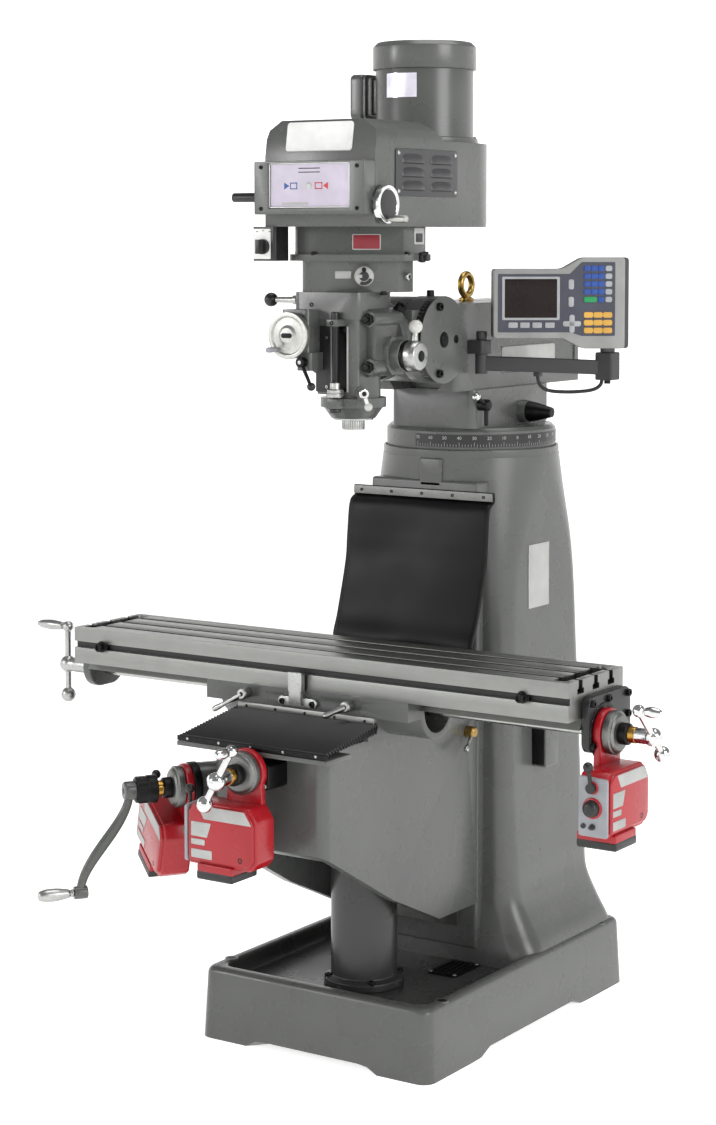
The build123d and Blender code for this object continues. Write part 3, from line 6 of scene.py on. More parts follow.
import bmesh
import bpy
import numpy as np
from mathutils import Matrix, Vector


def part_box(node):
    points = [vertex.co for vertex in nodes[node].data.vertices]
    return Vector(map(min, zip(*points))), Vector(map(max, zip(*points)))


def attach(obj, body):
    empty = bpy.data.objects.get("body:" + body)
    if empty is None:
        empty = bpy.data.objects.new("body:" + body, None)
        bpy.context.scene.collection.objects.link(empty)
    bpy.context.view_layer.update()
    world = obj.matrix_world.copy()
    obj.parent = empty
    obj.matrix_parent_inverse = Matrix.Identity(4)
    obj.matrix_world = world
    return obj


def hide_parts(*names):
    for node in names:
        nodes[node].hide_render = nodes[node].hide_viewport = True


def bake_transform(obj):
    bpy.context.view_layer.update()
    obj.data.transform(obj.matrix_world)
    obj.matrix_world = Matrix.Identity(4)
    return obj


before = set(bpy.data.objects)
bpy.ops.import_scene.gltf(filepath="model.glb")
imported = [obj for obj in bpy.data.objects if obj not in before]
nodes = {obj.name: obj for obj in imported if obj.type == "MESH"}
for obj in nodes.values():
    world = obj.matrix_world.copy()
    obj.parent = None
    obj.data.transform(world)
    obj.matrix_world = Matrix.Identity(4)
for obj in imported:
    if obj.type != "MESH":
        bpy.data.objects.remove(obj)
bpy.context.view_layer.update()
scene = bpy.context.scene
# Ways in the frame's axes, and the plane seen from above
zero = (0, 0, 0)
to_right = (1, 0, 0)
to_left = (-1, 0, 0)
to_rear = (0, 1, 0)
to_front = (0, -1, 0)
upward = (0, 0, 1)
downward = (0, 0, -1)
flat_plane = (zero, to_right, to_rear)

# Studio. A round sweep of pale paper that runs under the machine and curves up far behind it on every
# side, a large soft key from the right, a weak fill, a narrow strip and a top light; a long lens.


def linear(code, alpha=1.0):
    """An sRGB hex colour as linear RGBA: the power part of the sRGB curve, straight near black."""
    c = np.array([int(code[i : i + 2], 16) for i in (1, 3, 5)]) / 255
    c = np.where(c <= 0.04045, c / 12.92, ((c + 0.055) / 1.055) ** 2.4)
    return (*c.tolist(), alpha)


def add_node(tree, kind, settings=None, links=None):
    """Adds a shader node, sets its options and sockets, and joins named sockets to others."""
    made = tree.nodes.new(kind)
    for key, value in (settings or {}).items():
        if isinstance(key, str) and key in made.bl_rna.properties:
            setattr(made, key, value)
        else:
            made.inputs[key].default_value = value
    for key, source in (links or {}).items():
        tree.links.new(source, made.inputs[key])
    return made


def new_finish(name):
    """An empty node material; returns material, tree, Principled shader and object coordinates."""
    finish = bpy.data.materials.new(name)
    finish.use_nodes = True
    tree = finish.node_tree
    place = add_node(tree, "ShaderNodeTexCoord").outputs["Object"]
    return finish, tree, tree.nodes["Principled BSDF"], place


def noise(tree, place, scale, detail):
    """The value of a noise texture at a place."""
    made = add_node(tree, "ShaderNodeTexNoise", {"Scale": scale, "Detail": detail}, {"Vector": place})
    return made.outputs["Fac"]


def ramp(tree, share, stops, colours):
    """Two colours at two stops along a value, blended between them."""
    made = add_node(tree, "ShaderNodeValToRGB", links={"Fac": share})
    for element, stop, colour in zip(made.color_ramp.elements, stops, colours):
        element.position = stop
        element.color = (*np.minimum(colour, 1), 1)
    return made.outputs["Color"]


floor_finish, floor_tree, floor_shader, floor_place = new_finish("matt_studio_floor")
# Paper of a studio sweep: almost white, with soft clouds about half a metre across
floor_clouds = noise(floor_tree, floor_place, 2, 2)
floor_tint = ramp(floor_tree, floor_clouds, (0, 1), (linear("#f6f6f5")[:3], linear("#f8f8f7")[:3]))
floor_tree.links.new(floor_tint, floor_shader.inputs["Base Color"])
floor_shader.inputs["Roughness"].default_value = 0.9
floor_shader.inputs["Specular IOR Level"].default_value = 0.1
floor_shader.inputs["Emission Color"].default_value = linear("#ffffff")
floor_shader.inputs["Emission Strength"].default_value = 0.72
floor_mesh = bpy.data.meshes.new("floor")
# The paper lies flat for 21 m, bends up through a quarter circle of 3 m and ends 7.5 m high, all round
camera_azimuth = 33.58
sweep_arc = np.radians(np.linspace(0, 90, 19))
sweep_out = np.hstack([6, 21 + 3 * np.sin(sweep_arc), 24])
sweep_up = np.hstack([0, 3 - 3 * np.cos(sweep_arc), 7.5])
sweep_turn = np.radians(np.arange(0, 360, 5))
sweep_points = np.stack(
    [
        np.outer(sweep_out, np.cos(sweep_turn)),
        np.outer(sweep_out, np.sin(sweep_turn)),
        np.outer(sweep_up, np.ones_like(sweep_turn)),
    ],
    -1,
)
sweep_ids = np.arange(sweep_points[..., 0].size).reshape(sweep_points.shape[:2])
sweep_next = np.roll(sweep_ids, -1, 1)
sweep_quads = np.stack([sweep_ids[:-1], sweep_ids[1:], sweep_next[1:], sweep_next[:-1]], -1).reshape(-1, 4)
floor_mesh.from_pydata(
    sweep_points.reshape(-1, 3).tolist(), [], [sweep_ids[0].tolist(), *sweep_quads.tolist()]
)
floor_mesh.polygons.foreach_set("use_smooth", np.ones(len(sweep_quads) + 1, bool))
floor_mesh.materials.append(floor_finish)
floor = bpy.data.objects.new("floor", floor_mesh)
scene.collection.objects.link(floor)

for name, place, aim, size, watts in (
    ("key", (5.4, -1.2, 3.4), (0, -0.1, 1.0), 2.6, 140),
    ("fill", (-3.0, -5.4, 3.2), (0, -0.2, 1.0), 3.6, 22),
    ("strip", (-3.4, -4.2, 2.6), (0, -0.3, 1.3), 0.7, 42),
    ("top", (0.6, 0.4, 5.4), (0, 0, 1.0), 3.0, 95),
):
    lamp = bpy.data.lights.new(name, "AREA")
    lamp.size = size
    lamp.energy = watts
    lamp_object = bpy.data.objects.new(name, lamp)
    lamp_object.location = place
    way = Vector(aim) - Vector(place)
    lamp_object.rotation_euler = way.to_track_quat("-Z", "Y").to_euler()
    scene.collection.objects.link(lamp_object)

world = bpy.data.worlds.new("studio_white")
world.use_nodes = True
world.node_tree.nodes["Background"].inputs["Color"].default_value = linear("#fdfdfd")
world.node_tree.nodes["Background"].inputs["Strength"].default_value = 0.3
scene.world = world
scene.view_settings.view_transform = "Standard"

camera_dip = 4.03
camera = bpy.data.cameras.new("camera")
camera.lens = 77.55
camera.sensor_fit = "AUTO"
camera.shift_y = -0.136
camera_object = bpy.data.objects.new("camera", camera)
camera_object.location = (2.8537, -4.5496, 1.7306)
camera_object.rotation_euler = np.radians((90 - camera_dip, 0, camera_azimuth))
scene.collection.objects.link(camera_object)
scene.camera = camera_object

# Readout cable. A round rubber-sheathed lead, 8 mm thick, that drops out of the knuckle under the
# display, hangs below the arm and goes up into the clip that holds it there.


def spread(tree, share, low, high):
    """A value from 0 to 1 spread over a range."""
    made = add_node(tree, "ShaderNodeMapRange", {"To Min": low, "To Max": high}, {"Value": share})
    return made.outputs["Result"]


def relief(tree, height, strength, depth, links=None):
    """The normal of a bump drawn from a height."""
    links = {"Height": height, **(links or {})}
    made = add_node(tree, "ShaderNodeBump", {"Strength": strength, "Distance": depth}, links)
    return made.outputs["Normal"]


def coat(tree, shader, colour, rough, normal):
    """Joins colour, roughness and normal to a material's shader."""
    tree.links.new(colour, shader.inputs["Base Color"])
    tree.links.new(rough, shader.inputs["Roughness"])
    tree.links.new(normal, shader.inputs["Normal"])


def sheathing(name, code, rough, grain_mm, depth=0.0002, shine=0.5):
    """Moulded rubber or plastic: one colour, uneven gloss and a fine grain of the given size."""
    finish, tree, shader, place = new_finish(name)
    base = np.array(linear(code)[:3])
    # Handling marks about 60 mm across move colour and gloss a little
    marks = noise(tree, place, 16, 4)
    colour = ramp(tree, marks, (0.3, 0.7), (base * 0.86, base * 1.12))
    gloss = spread(tree, marks, rough - 0.05, rough + 0.07)
    grain = noise(tree, place, 1000 / grain_mm, 2)
    coat(tree, shader, colour, gloss, relief(tree, grain, 0.15, depth))
    shader.inputs["Specular IOR Level"].default_value = shine
    return finish


# Extruded rubber: dull black, the grain drawn at 3 mm so that it shows
black_rubber = sheathing("extruded_black_rubber", "#1d1d1e", 0.62, 3)
cable_route = np.array(
    [(352, 190, 1420), (352, 190, 1400), (294, 153, 1392), (234, 113.2, 1398), (234, 113.2, 1428)]
)
cable_line = bpy.data.curves.new("readout_cable", "CURVE")
cable_line.dimensions = "3D"
cable_line.bevel_depth = 0.004
cable_line.bevel_resolution = 5
cable_line.resolution_u = 16
cable_line.use_fill_caps = True
cable_spline = cable_line.splines.new("NURBS")
cable_spline.points.add(len(cable_route) - 1)
cable_spline.points.foreach_set(
    "co", np.column_stack([cable_route / 1000, np.ones(len(cable_route))]).ravel()
)
cable_spline.order_u = 3
cable_spline.use_endpoint_u = True
cable_line.materials.append(black_rubber)
cable = bpy.data.objects.new("readout_cable", cable_line)
scene.collection.objects.link(cable)
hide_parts("dro_cable")
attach(cable, "readout_arm")

# Base and column. One grey iron casting, filled, sanded and sprayed with machine enamel: a base with
# a chip pan and four foot pads, a flared hollow column and the pad that carries the knee's way.


def machine_enamel(name, code, peel=1.0):
    """Sprayed enamel on filled iron: satin, with a fine orange peel and faint hand-filled waves."""
    finish, tree, shader, place = new_finish(name)
    base = np.array(linear(code)[:3])
    # Waves about 90 mm long tint the coat by a few percent
    waves = noise(tree, place, 11, 3)
    colour = ramp(tree, waves, (0.3, 0.7), (base * 0.92, base * 1.06))
    gloss = spread(tree, waves, 0.22, 0.34)
    # Real peel is under 2 mm and would not show, so it is drawn about 4 mm long
    grain = noise(tree, place, 260, 2)
    swell = relief(tree, noise(tree, place, 24, 2), 0.03, 0.004)
    coat(tree, shader, colour, gloss, relief(tree, grain, 0.05 * peel, 0.0006, {"Normal": swell}))
    return finish


def bare_metal(name, code, rough, grain_mm, scratch=0.12, stir=(0.78, 1.15)):
    """Bare worked metal: a dark to light stir of its colour and fine scratches stretched by the tool.

    grain_mm is the scratches' length along X, Y and Z; stir the colour's darkest and lightest share.
    """
    finish, tree, shader, place = new_finish(name)
    base = np.array(linear(code)[:3])
    shader.inputs["Metallic"].default_value = 1.0
    lay = add_node(
        tree, "ShaderNodeMapping", {"Scale": tuple(1000 / np.array(grain_mm))}, {"Vector": place}
    )
    lines = noise(tree, lay.outputs["Vector"], 1, 3)
    # Thumb marks and oil about 50 mm across
    smear = noise(tree, place, 20, 4)
    both = add_node(tree, "ShaderNodeMath", {"operation": "MULTIPLY"}, {0: lines, 1: smear})
    colour = ramp(tree, both.outputs["Value"], (0.1, 0.45), (base * stir[0], base * stir[1]))
    gloss = spread(tree, lines, max(rough - 0.08, 0.03), rough + 0.1)
    coat(tree, shader, colour, gloss, relief(tree, lines, scratch, 0.0002))
    return finish


def glide(at, knots, values):
    """Smooth values between knots: cubic pieces whose slope at a knot is that of its neighbours."""
    knots = np.asarray(knots, float)
    values = np.asarray(values, float)
    slopes = np.gradient(values, knots, axis=0)
    i = np.clip(np.searchsorted(knots, at) - 1, 0, len(knots) - 2)
    h = (knots[i + 1] - knots[i])[:, None]
    t = ((at - knots[i]) / (knots[i + 1] - knots[i]))[:, None]
    return (
        (2 * t**3 - 3 * t**2 + 1) * values[i]
        + (t**3 - 2 * t**2 + t) * h * slopes[i]
        + (3 * t**2 - 2 * t**3) * values[i + 1]
        + (t**3 - t**2) * h * slopes[i + 1]
    )


def box_ring(x, y, radii, side=6, turn=9):
    """A rectangle with arcs at its corners, as points: front left, front right, rear right, rear left.

    x and y are (low, high), radii the four corner radii. Straight sides are split so they can bend.
    """
    ends = np.array([(x[0], y[0]), (x[1], y[0]), (x[1], y[1]), (x[0], y[1])], float)
    inward = np.array([(1, 1), (-1, 1), (-1, -1), (1, -1)], float)
    radii = np.broadcast_to(np.asarray(radii, float), (4,))[:, None]
    centres = ends + inward * radii
    angle = np.radians(np.array([180, 270, 0, 90])[:, None] + np.linspace(0, 90, turn)[None])
    arcs = centres[:, None] + radii[:, None] * np.stack([np.cos(angle), np.sin(angle)], -1)
    along = np.linspace(0, 1, side + 1)[1:-1, None]
    rows = [
        np.vstack([arcs[i], arcs[i, -1] + (arcs[(i + 1) % 4, 0] - arcs[i, -1]) * along]) for i in range(4)
    ]
    return np.vstack(rows)


def solid(rings, start=True, end=True, wrap=False):
    """Joins closed rings of points, ring to next ring, with a face over each end; points and faces."""
    rings = np.asarray(rings, float)
    k, n = rings.shape[:2]
    row = np.arange(k if wrap else k - 1)[:, None]
    a = row * n + np.arange(n)
    b = row * n + (np.arange(n) + 1) % n
    up = ((row + 1) % k - row) * n
    faces = np.stack([a, b, b + up, a + up], -1).reshape(-1, 4).tolist()
    if start and not wrap:
        faces.append(list(range(n))[::-1])
    if end and not wrap:
        faces.append(list(range((k - 1) * n, k * n)))
    return rings.reshape(-1, 3), faces


def piece(name, surfaces, body, slot, *stands_for):
    """One mesh object from pairs of (points and faces, finish), smooth except at edges over 38 degrees.

    Points that meet are merged. It rides on a body and stands for the CAD nodes named last.
    The slot given is not used.
    """
    counts = np.cumsum([0] + [len(points) for (points, _), _ in surfaces])
    faces = [[v + c for v in f] for ((_, sides), _), c in zip(surfaces, counts) for f in sides]
    finishes = list(dict.fromkeys(finish for _, finish in surfaces))
    index = np.repeat([finishes.index(f) for _, f in surfaces], [len(sides) for (_, sides), _ in surfaces])
    mesh = bpy.data.meshes.new(name)
    mesh.from_pydata(np.vstack([points for (points, _), _ in surfaces]).tolist(), [], faces)
    for finish in finishes:
        mesh.materials.append(finish)
    mesh.polygons.foreach_set("material_index", index.astype(np.int32))
    joined = bmesh.new()
    joined.from_mesh(mesh)
    bmesh.ops.remove_doubles(joined, verts=joined.verts, dist=2e-6)
    joined.to_mesh(mesh)
    joined.free()
    mesh.polygons.foreach_set("use_smooth", np.ones(len(mesh.polygons), bool))
    mesh.set_sharp_from_angle(angle=np.radians(38))
    made = bpy.data.objects.new(name, mesh)
    scene.collection.objects.link(made)
    if body:
        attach(made, body)
    if stands_for:
        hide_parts(*stands_for)
    return made


def at_height(ring, z):
    """A flat ring of points lifted to a height."""
    return np.column_stack([ring, np.broadcast_to(z, len(ring))])


def grown(ring, by):
    """A closed flat ring pushed out square to its sides by an amount, or in where it is negative."""
    back = ring - np.roll(ring, 1, axis=0)
    ahead = np.roll(ring, -1, axis=0) - ring
    back = np.stack([back[:, 1], -back[:, 0]], 1) / np.linalg.norm(back, axis=1, keepdims=True)
    ahead = np.stack([ahead[:, 1], -ahead[:, 0]], 1) / np.linalg.norm(ahead, axis=1, keepdims=True)
    both = back + ahead
    return ring + by * 2 * both / np.maximum((both * both).sum(1, keepdims=True), 0.4)


def slab(ring, low, high, plane=flat_plane, edge=0.001, steps=4):
    """A flat outline given thickness, its rims rounded: rings pulled in by an edge radius near the ends.

    plane holds an origin and the outline's right and up; low and high are heights square to it.
    """
    turn = np.linspace(0, np.pi / 2, steps)
    inset = edge * (1 - np.cos(np.r_[turn[::-1], turn]))
    rise = np.r_[low + edge * (1 - np.sin(turn[::-1])), high - edge * (1 - np.sin(turn))]
    rings = np.array([at_height(grown(ring, -i), z) for i, z in zip(inset, rise)])
    origin, right, up = np.asarray(plane, float)
    out = np.cross(right, up)
    return solid(origin + rings[..., :1] * right + rings[..., 1:2] * up + rings[..., 2:] * out)


def eased(line, radius, steps=4):
    """A line of points whose inner corners are cut back by a radius and bridged by parabolas."""
    line = np.asarray(line, float)
    before = line[:-2] - line[1:-1]
    after = line[2:] - line[1:-1]
    reach_b = np.linalg.norm(before, axis=1, keepdims=True)
    reach_a = np.linalg.norm(after, axis=1, keepdims=True)
    cut = np.minimum(radius, 0.48 * np.minimum(reach_b, reach_a))
    first = line[1:-1] + before / reach_b * cut
    last = line[1:-1] + after / reach_a * cut
    t = np.linspace(0, 1, steps)[None, :, None]
    bend = (1 - t) ** 2 * first[:, None] + 2 * t * (1 - t) * line[1:-1, None] + t**2 * last[:, None]
    return np.vstack([line[:1], bend.reshape(-1, line.shape[1]), line[-1:]])


def eased_ring(corners, radius, steps=5):
    """A closed outline of corners, each rounded by a radius."""
    corners = np.asarray(corners, float)
    return eased(np.vstack([corners[-1:], corners, corners[:1]]), radius, steps)[1:-1]


def circle_round(axis, seg):
    """A circle of radius 1 square to an axis: the axis at length 1, the points' angles, the points.

    A slanted vector, parallel to no axis in use, sets where it starts.
    """
    axis = np.asarray(axis, float) / np.linalg.norm(axis)
    side = np.cross(axis, (0.31, 0.52, 0.8))
    side = side / np.linalg.norm(side)
    angle = np.linspace(0, 2 * np.pi, seg, endpoint=False)
    return axis, angle, np.cos(angle)[:, None] * side + np.sin(angle)[:, None] * np.cross(axis, side)


def turned(origin, axis, profile, ease=0.0008, seg=48, hollow=False):
    """A turned form: a profile of (along, radius) pairs, its corners eased, carried round an axis.

    A hollow form's profile is a closed loop, out along the outside and back along the bore.
    """
    axis, _, ring = circle_round(axis, seg)
    profile = np.asarray(profile, float)
    if hollow:
        line = eased_ring(profile, ease, 4)
    else:
        line = eased(np.vstack([(profile[0, 0], 1e-4), profile, (profile[-1, 0], 1e-4)]), ease)
    rings = np.asarray(origin, float) + line[:, :1, None] * axis + line[:, 1:, None] * ring
    return solid(rings, wrap=hollow)


grey_enamel = machine_enamel("grey_machine_enamel", "#525452")
# Enamel in the pan, wet with coolant, and on the screw's pedestal: a little darker, as painted shade
pan_shade_enamel = machine_enamel("oiled_grey_enamel_painted_shade", "#343534")
# Planed and scraped iron of the way, its marks running up and down
way_iron = bare_metal("scraped_way_iron", "#8b8c88", 0.38, (3, 3, 80))
base_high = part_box("column")[1]
base_half_x = base_high.x
base_half_y = base_high.y
base_top = 0.154
pan_floor = 0.117
draft = 0.0072
rim_round = 0.012
notch = 0.016


def base_ring(inset, z):
    """The base's outline pulled in by an inset, at a height."""
    x = base_half_x - inset
    y = base_half_y - inset
    return at_height(box_ring((-x, x), (-y, y), 0.03 - inset * 0.3, side=22), z)


def pan_ring(grow, z):
    """The chip pan's outline grown by an amount, at a height."""
    x = base_half_x - 0.036 + grow
    ring = box_ring((-x, x), (-base_half_y + 0.041 - grow, 0.07 + grow), 0.03 + grow, side=22)
    return at_height(ring, z)


sole = base_ring(0.0, 0.0)
front_run = np.clip((0.16 - np.abs(sole[:, 0])) / 0.02, 0, 1) * (np.abs(sole[:, 1]) > 0.39)
side_run = np.clip((0.222 - np.abs(sole[:, 1])) / 0.02, 0, 1)
sole[:, 2] = notch * np.minimum(front_run + side_run, 1)
quarter = np.linspace(0, np.pi / 2, 6)
# The casting is open below, with walls 60 mm thick at the sides and 40 mm at the ends
hollow_x = base_half_x - 0.060
hollow_y = base_half_y - 0.040
hollow = box_ring((-hollow_x, hollow_x), (-hollow_y, hollow_y), 0.025, side=22)
base_rings = [at_height(hollow, pan_floor - 0.020), np.column_stack([hollow[:, :2], sole[:, 2]]), sole]
base_rings += [base_ring(draft * z / base_top, z) for z in (0.02, 0.07, base_top - rim_round)]
base_rings += [
    base_ring(draft + rim_round * (1 - np.cos(a)), base_top - rim_round * (1 - np.sin(a)))
    for a in quarter[1:]
]
pan_rings = [pan_ring(0.008 * (1 - np.sin(a)), base_top - 0.008 * (1 - np.cos(a))) for a in quarter]
pan_rings += [pan_ring(-0.012 * (1 - np.cos(a)), pan_floor + 0.012 * (1 - np.sin(a))) for a in quarter]
piece(
    "base_casting",
    [
        (solid(base_rings + pan_rings[:1], end=False), grey_enamel),
        (solid(pan_rings, start=False), pan_shade_enamel),
    ],
    "frame",
    "grey_paint",
    "column",
)

# Column levels: height, half width, front, rear, front corner radius, rear corner radius
column_levels = np.array(
    [
        (0.108, 0.284, 0.015, 0.424, 0.060, 0.050),
        (0.152, 0.277, 0.018, 0.424, 0.060, 0.050),
        (0.203, 0.247, 0.030, 0.425, 0.055, 0.050),
        (0.261, 0.217, 0.038, 0.425, 0.050, 0.048),
        (0.330, 0.210, 0.040, 0.424, 0.046, 0.048),
        (0.755, 0.196, 0.040, 0.412, 0.050, 0.055),
        (1.057, 0.192, 0.030, 0.405, 0.100, 0.085),
        (1.180, 0.198, 0.019, 0.416, 0.170, 0.165),
        (1.245, 0.201, 0.018, 0.420, 0.2, 0.2),
    ]
)
column_heights = np.linspace(column_levels[0, 0], column_levels[-1, 0], 90)
column_rows = glide(column_heights, column_levels[:, 0], column_levels)
column_rings = [
    at_height(box_ring((-r[1], r[1]), (r[2], r[3]), (r[4], r[4], r[5], r[5]), side=4, turn=14), r[0])
    for r in column_rows
]
pad_ring = box_ring((-0.14, 0.14), (0.014, 0.12), 0.008)
dovetail = eased_ring([(-0.105, -0.006), (0.105, -0.006), (0.09, 0.018), (-0.09, 0.018)], 0.002)
face_front = (zero, to_right, upward)
turret_y = 0.219
# A lip that stands up round the turret's foot, clear of it
column_lip = [(0, 0.195), (0, 0.2005), (0.0225, 0.2005), (0.0225, 0.195)]
boss_ring = box_ring((-0.012, 0.045), (1.18, 1.244), 0.006)
piece(
    "column_casting",
    [
        (solid(column_rings), grey_enamel),
        (slab(pad_ring, 0.15, 1.195, edge=0.006), grey_enamel),
        (slab(boss_ring, -0.08, -0.014, face_front, 0.004), grey_enamel),
        (slab(dovetail, 0.203, 1.122), way_iron),
        (turned((0, turret_y, 1.24), upward, column_lip, 0.003, 96, True), grey_enamel),
    ],
    "frame",
    "grey_paint",
    "column",
)

# Fittings on the casting. Anchor holes spot-faced at the base's corners, a pressed strainer over the
# pan's drain, a junction box on the column's right side and a bare label plate riveted above it.


def repeated(surface, places):
    """The same surface at each of several offsets, as one set of points and faces."""
    points, faces = surface
    places = np.asarray(places, float)
    moved = (points[None] + places[:, None]).reshape(-1, 3)
    return moved, [[v + i * len(points) for v in f] for i in range(len(places)) for f in faces]


# Steel shot with black oxide: near black, dull sheen
black_oxide = bare_metal("black_oxide_steel", "#2c2c2d", 0.42, (8, 8, 8), 0.05)
# Blank label stock: satin white print on thin aluminium, the grain drawn at 6 mm
label_white = sheathing("satin_white_label", "#a4a4a2", 0.42, 6, 0.00005)
anchor_spots = np.array([(-1, -1), (1, -1), (1, 1), (-1, 1)]) * (0.271, 0.345)
anchor_spots = np.column_stack([anchor_spots, np.full(4, base_top)])
anchor_loop = [(0, 0.0088), (0, 0.0145), (0.0042, 0.0145), (0.0042, 0.0088)]
anchor_ring = turned((0, 0, -0.004), upward, anchor_loop, 0.0004, hollow=True)
# A near-black disc inside each ring, flush with its top, stands for the hole: painted shade in its depth.
anchor_hole_shade = turned((0, 0, -0.004), upward, [(0, 0.0095), (0.0042, 0.0095)], 0.0001)
strainer = box_ring((0.08, 0.155), (-0.1, 0.012), 0.008)
strainer_bars = [
    box_ring((0.088 + i * 0.0125, 0.094 + i * 0.0125), (-0.088, 0.0), 0.0025, side=2) for i in range(5)
]
strainer_screws = turned((0, 0, pan_floor + 0.003), upward, [(0, 0.005), (0.003, 0.0042)], 0.001, 20)
face_right = (zero, to_rear, upward)
junction = box_ring((0.159, 0.217), (0.545, 0.65), 0.004)
# The box's front is a near-black plate, darker than its grey sides.
junction_front = box_ring((0.198, 0.23), (0.55, 0.645), 0.003)
piece(
    "column_fittings",
    [
        (repeated(anchor_ring, anchor_spots), grey_enamel),
        (repeated(anchor_hole_shade, anchor_spots), black_oxide),
        (slab(strainer, pan_floor - 0.002, pan_floor + 0.003), black_oxide),
        *((slab(bar, pan_floor, pan_floor + 0.005), black_oxide) for bar in strainer_bars),
        (repeated(strainer_screws, [(0.087, -0.092, 0), (0.148, -0.092, 0), (0.148, 0.004, 0)]), way_iron),
        (slab(junction, 0.185, 0.234, face_right, 0.003), grey_enamel),
        (slab(junction_front, -0.163, -0.1575, face_front, 0.001), black_oxide),
    ],
    "frame",
    "grey_paint",
)
# The label bends with the column's side, so each of its points is set just off that side
label_z, label_y = np.meshgrid(np.linspace(0.903, 1.046, 9), np.linspace(0.150, 0.242, 5), indexing="ij")
label_side = np.interp(label_z, column_rows[:, 0], column_rows[:, 1])
label_front = np.stack([label_side + 0.0015, label_y, label_z], -1)
label_back = label_front - (0.003, 0, 0)
label_rings = np.concatenate([label_front, label_back[:, ::-1]], 1)
piece("column_label", [(solid(label_rings), label_white)], "frame", "grey_plastic")

# Knee and its elevating screw. The knee is an iron casting scraped to the column's way; a screw turned
# by bevel gears inside it stands in a round pedestal bolted to the pan. Cast corners are rounded.


def dress(node, finish, round_mm=0.0):
    """Gives a CAD node its finish. Modifiers weld its triangles, round its edges and shade it smooth."""
    thing = nodes[node]
    for slot in thing.material_slots:
        slot.material = finish
    weld = thing.modifiers.new("weld", "WELD")
    weld.merge_threshold = 0.00002
    if round_mm:
        bevel = thing.modifiers.new("rounded_edges", "BEVEL")
        bevel.width = round_mm / 1000
        bevel.segments = 3
        bevel.limit_method = "ANGLE"
        bevel.angle_limit = np.radians(32)
        bevel.use_clamp_overlap = True
    shade = thing.modifiers.new("smooth_faces", "NODES")
    shade.node_group = smooth_faces
    return thing


smooth_faces = bpy.data.node_groups.new("smooth_faces", "GeometryNodeTree")
smooth_faces.interface.new_socket("Geometry", in_out="INPUT", socket_type="NodeSocketGeometry")
smooth_faces.interface.new_socket("Geometry", in_out="OUTPUT", socket_type="NodeSocketGeometry")
raw_faces = add_node(smooth_faces, "NodeGroupInput")
all_smooth = add_node(
    smooth_faces, "GeometryNodeSetShadeSmooth", {"domain": "FACE"}, {"Geometry": raw_faces.outputs[0]}
)
corner = add_node(smooth_faces, "GeometryNodeInputMeshEdgeAngle")
steep = add_node(
    smooth_faces,
    "FunctionNodeCompare",
    {"data_type": "FLOAT", "operation": "GREATER_THAN", "B": np.radians(31)},
    {"A": corner.outputs["Unsigned Angle"]},
)
sharp_kept = add_node(
    smooth_faces,
    "GeometryNodeSetShadeSmooth",
    {"domain": "EDGE", "Shade Smooth": False},
    {"Geometry": all_smooth.outputs[0], "Selection": steep.outputs["Result"]},
)
add_node(smooth_faces, "NodeGroupOutput", links={0: sharp_kept.outputs[0]})

# Turned steel: close tool marks round the work, drawn at 2 mm
turned_steel = bare_metal("turned_steel", "#b4b5b2", 0.24, (6, 6, 2))
dress("knee", grey_enamel, 2.5)
# The pedestal takes the pan's darker enamel: painted shade.
dress("screw_pedestal", pan_shade_enamel, 2.0)
dress("elevating_screw", turned_steel, 0.5)
# Yellow zinc plate over steel: warm gold, soft gloss
yellow_zinc = bare_metal("yellow_zinc_plate", "#a88a4e", 0.3, (8, 8, 8), 0.06)


def screw_head(axis, radius, height, socket=0.55, seg=24):
    """A cap screw's head: a short turned drum with a hexagon socket sunk into its face."""
    axis, angle, ring = circle_round(axis, seg)
    flat = radius * socket * np.cos(np.pi / 6) / np.cos((angle % (np.pi / 3)) - np.pi / 6)
    rim = radius * np.ones(seg)
    rows = [
        (rim, -0.002),
        (rim, height - 0.12 * radius),
        (rim - 0.04 * radius, height - 0.03 * radius),
        (rim - 0.14 * radius, height),
        (flat, height),
        (flat * 0.97, height - 0.5 * radius),
    ]
    return solid([r[:, None] * ring + h * axis for r, h in rows])


def bolt_circle(degrees, radius, centre):
    """Places on a level circle at the given angles."""
    angle = np.radians(degrees)
    x, y, z = centre
    return np.column_stack([x + radius * np.cos(angle), y + radius * np.sin(angle), np.full(len(angle), z)])


lift_y = -0.227
pedestal_bolts = bolt_circle((45, 135, 225, 315), 0.0795, (0, lift_y, 0.133))
piece(
    "pedestal_bolts",
    [(repeated(screw_head(upward, 0.0075, 0.008), pedestal_bolts), black_oxide)],
    "frame",
    "black_metal",
)
# The knee's lock: a brass hub on a screw, with a thin plated handle
clamp_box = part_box("knee_lock_lever")
clamp_at = np.array(clamp_box[1]) - (0.031, 0.013, 0.013)
clamp_root = clamp_at + (0.014, 0, 0)
clamp_tip = clamp_at + (0.024, -0.042, -0.029)
clamp_hub = [(-0.016, 0.007), (0, 0.007), (0.0005, 0.0128), (0.018, 0.0128), (0.0218, 0.0095)]
clamp_rod = [(0, 0.0042), (0.04, 0.0036), (0.047, 0.0058), (0.056, 0.0058), (0.058, 0.004)]
piece(
    "knee_clamp_handle",
    [
        (turned(clamp_at, to_right, clamp_hub), yellow_zinc),
        (turned(clamp_root, clamp_tip - clamp_root, clamp_rod, 0.002, 24), turned_steel),
    ],
    "knee_lock_lever",
    "steel",
    "knee_lock_lever",
)

# Power feeds. Three like gearmotors in red enamelled cast shells, one on each hand shaft: a rounded
# neck round the dial, sloped shoulders, a grey control panel, bare plates and a black moulded end cap.


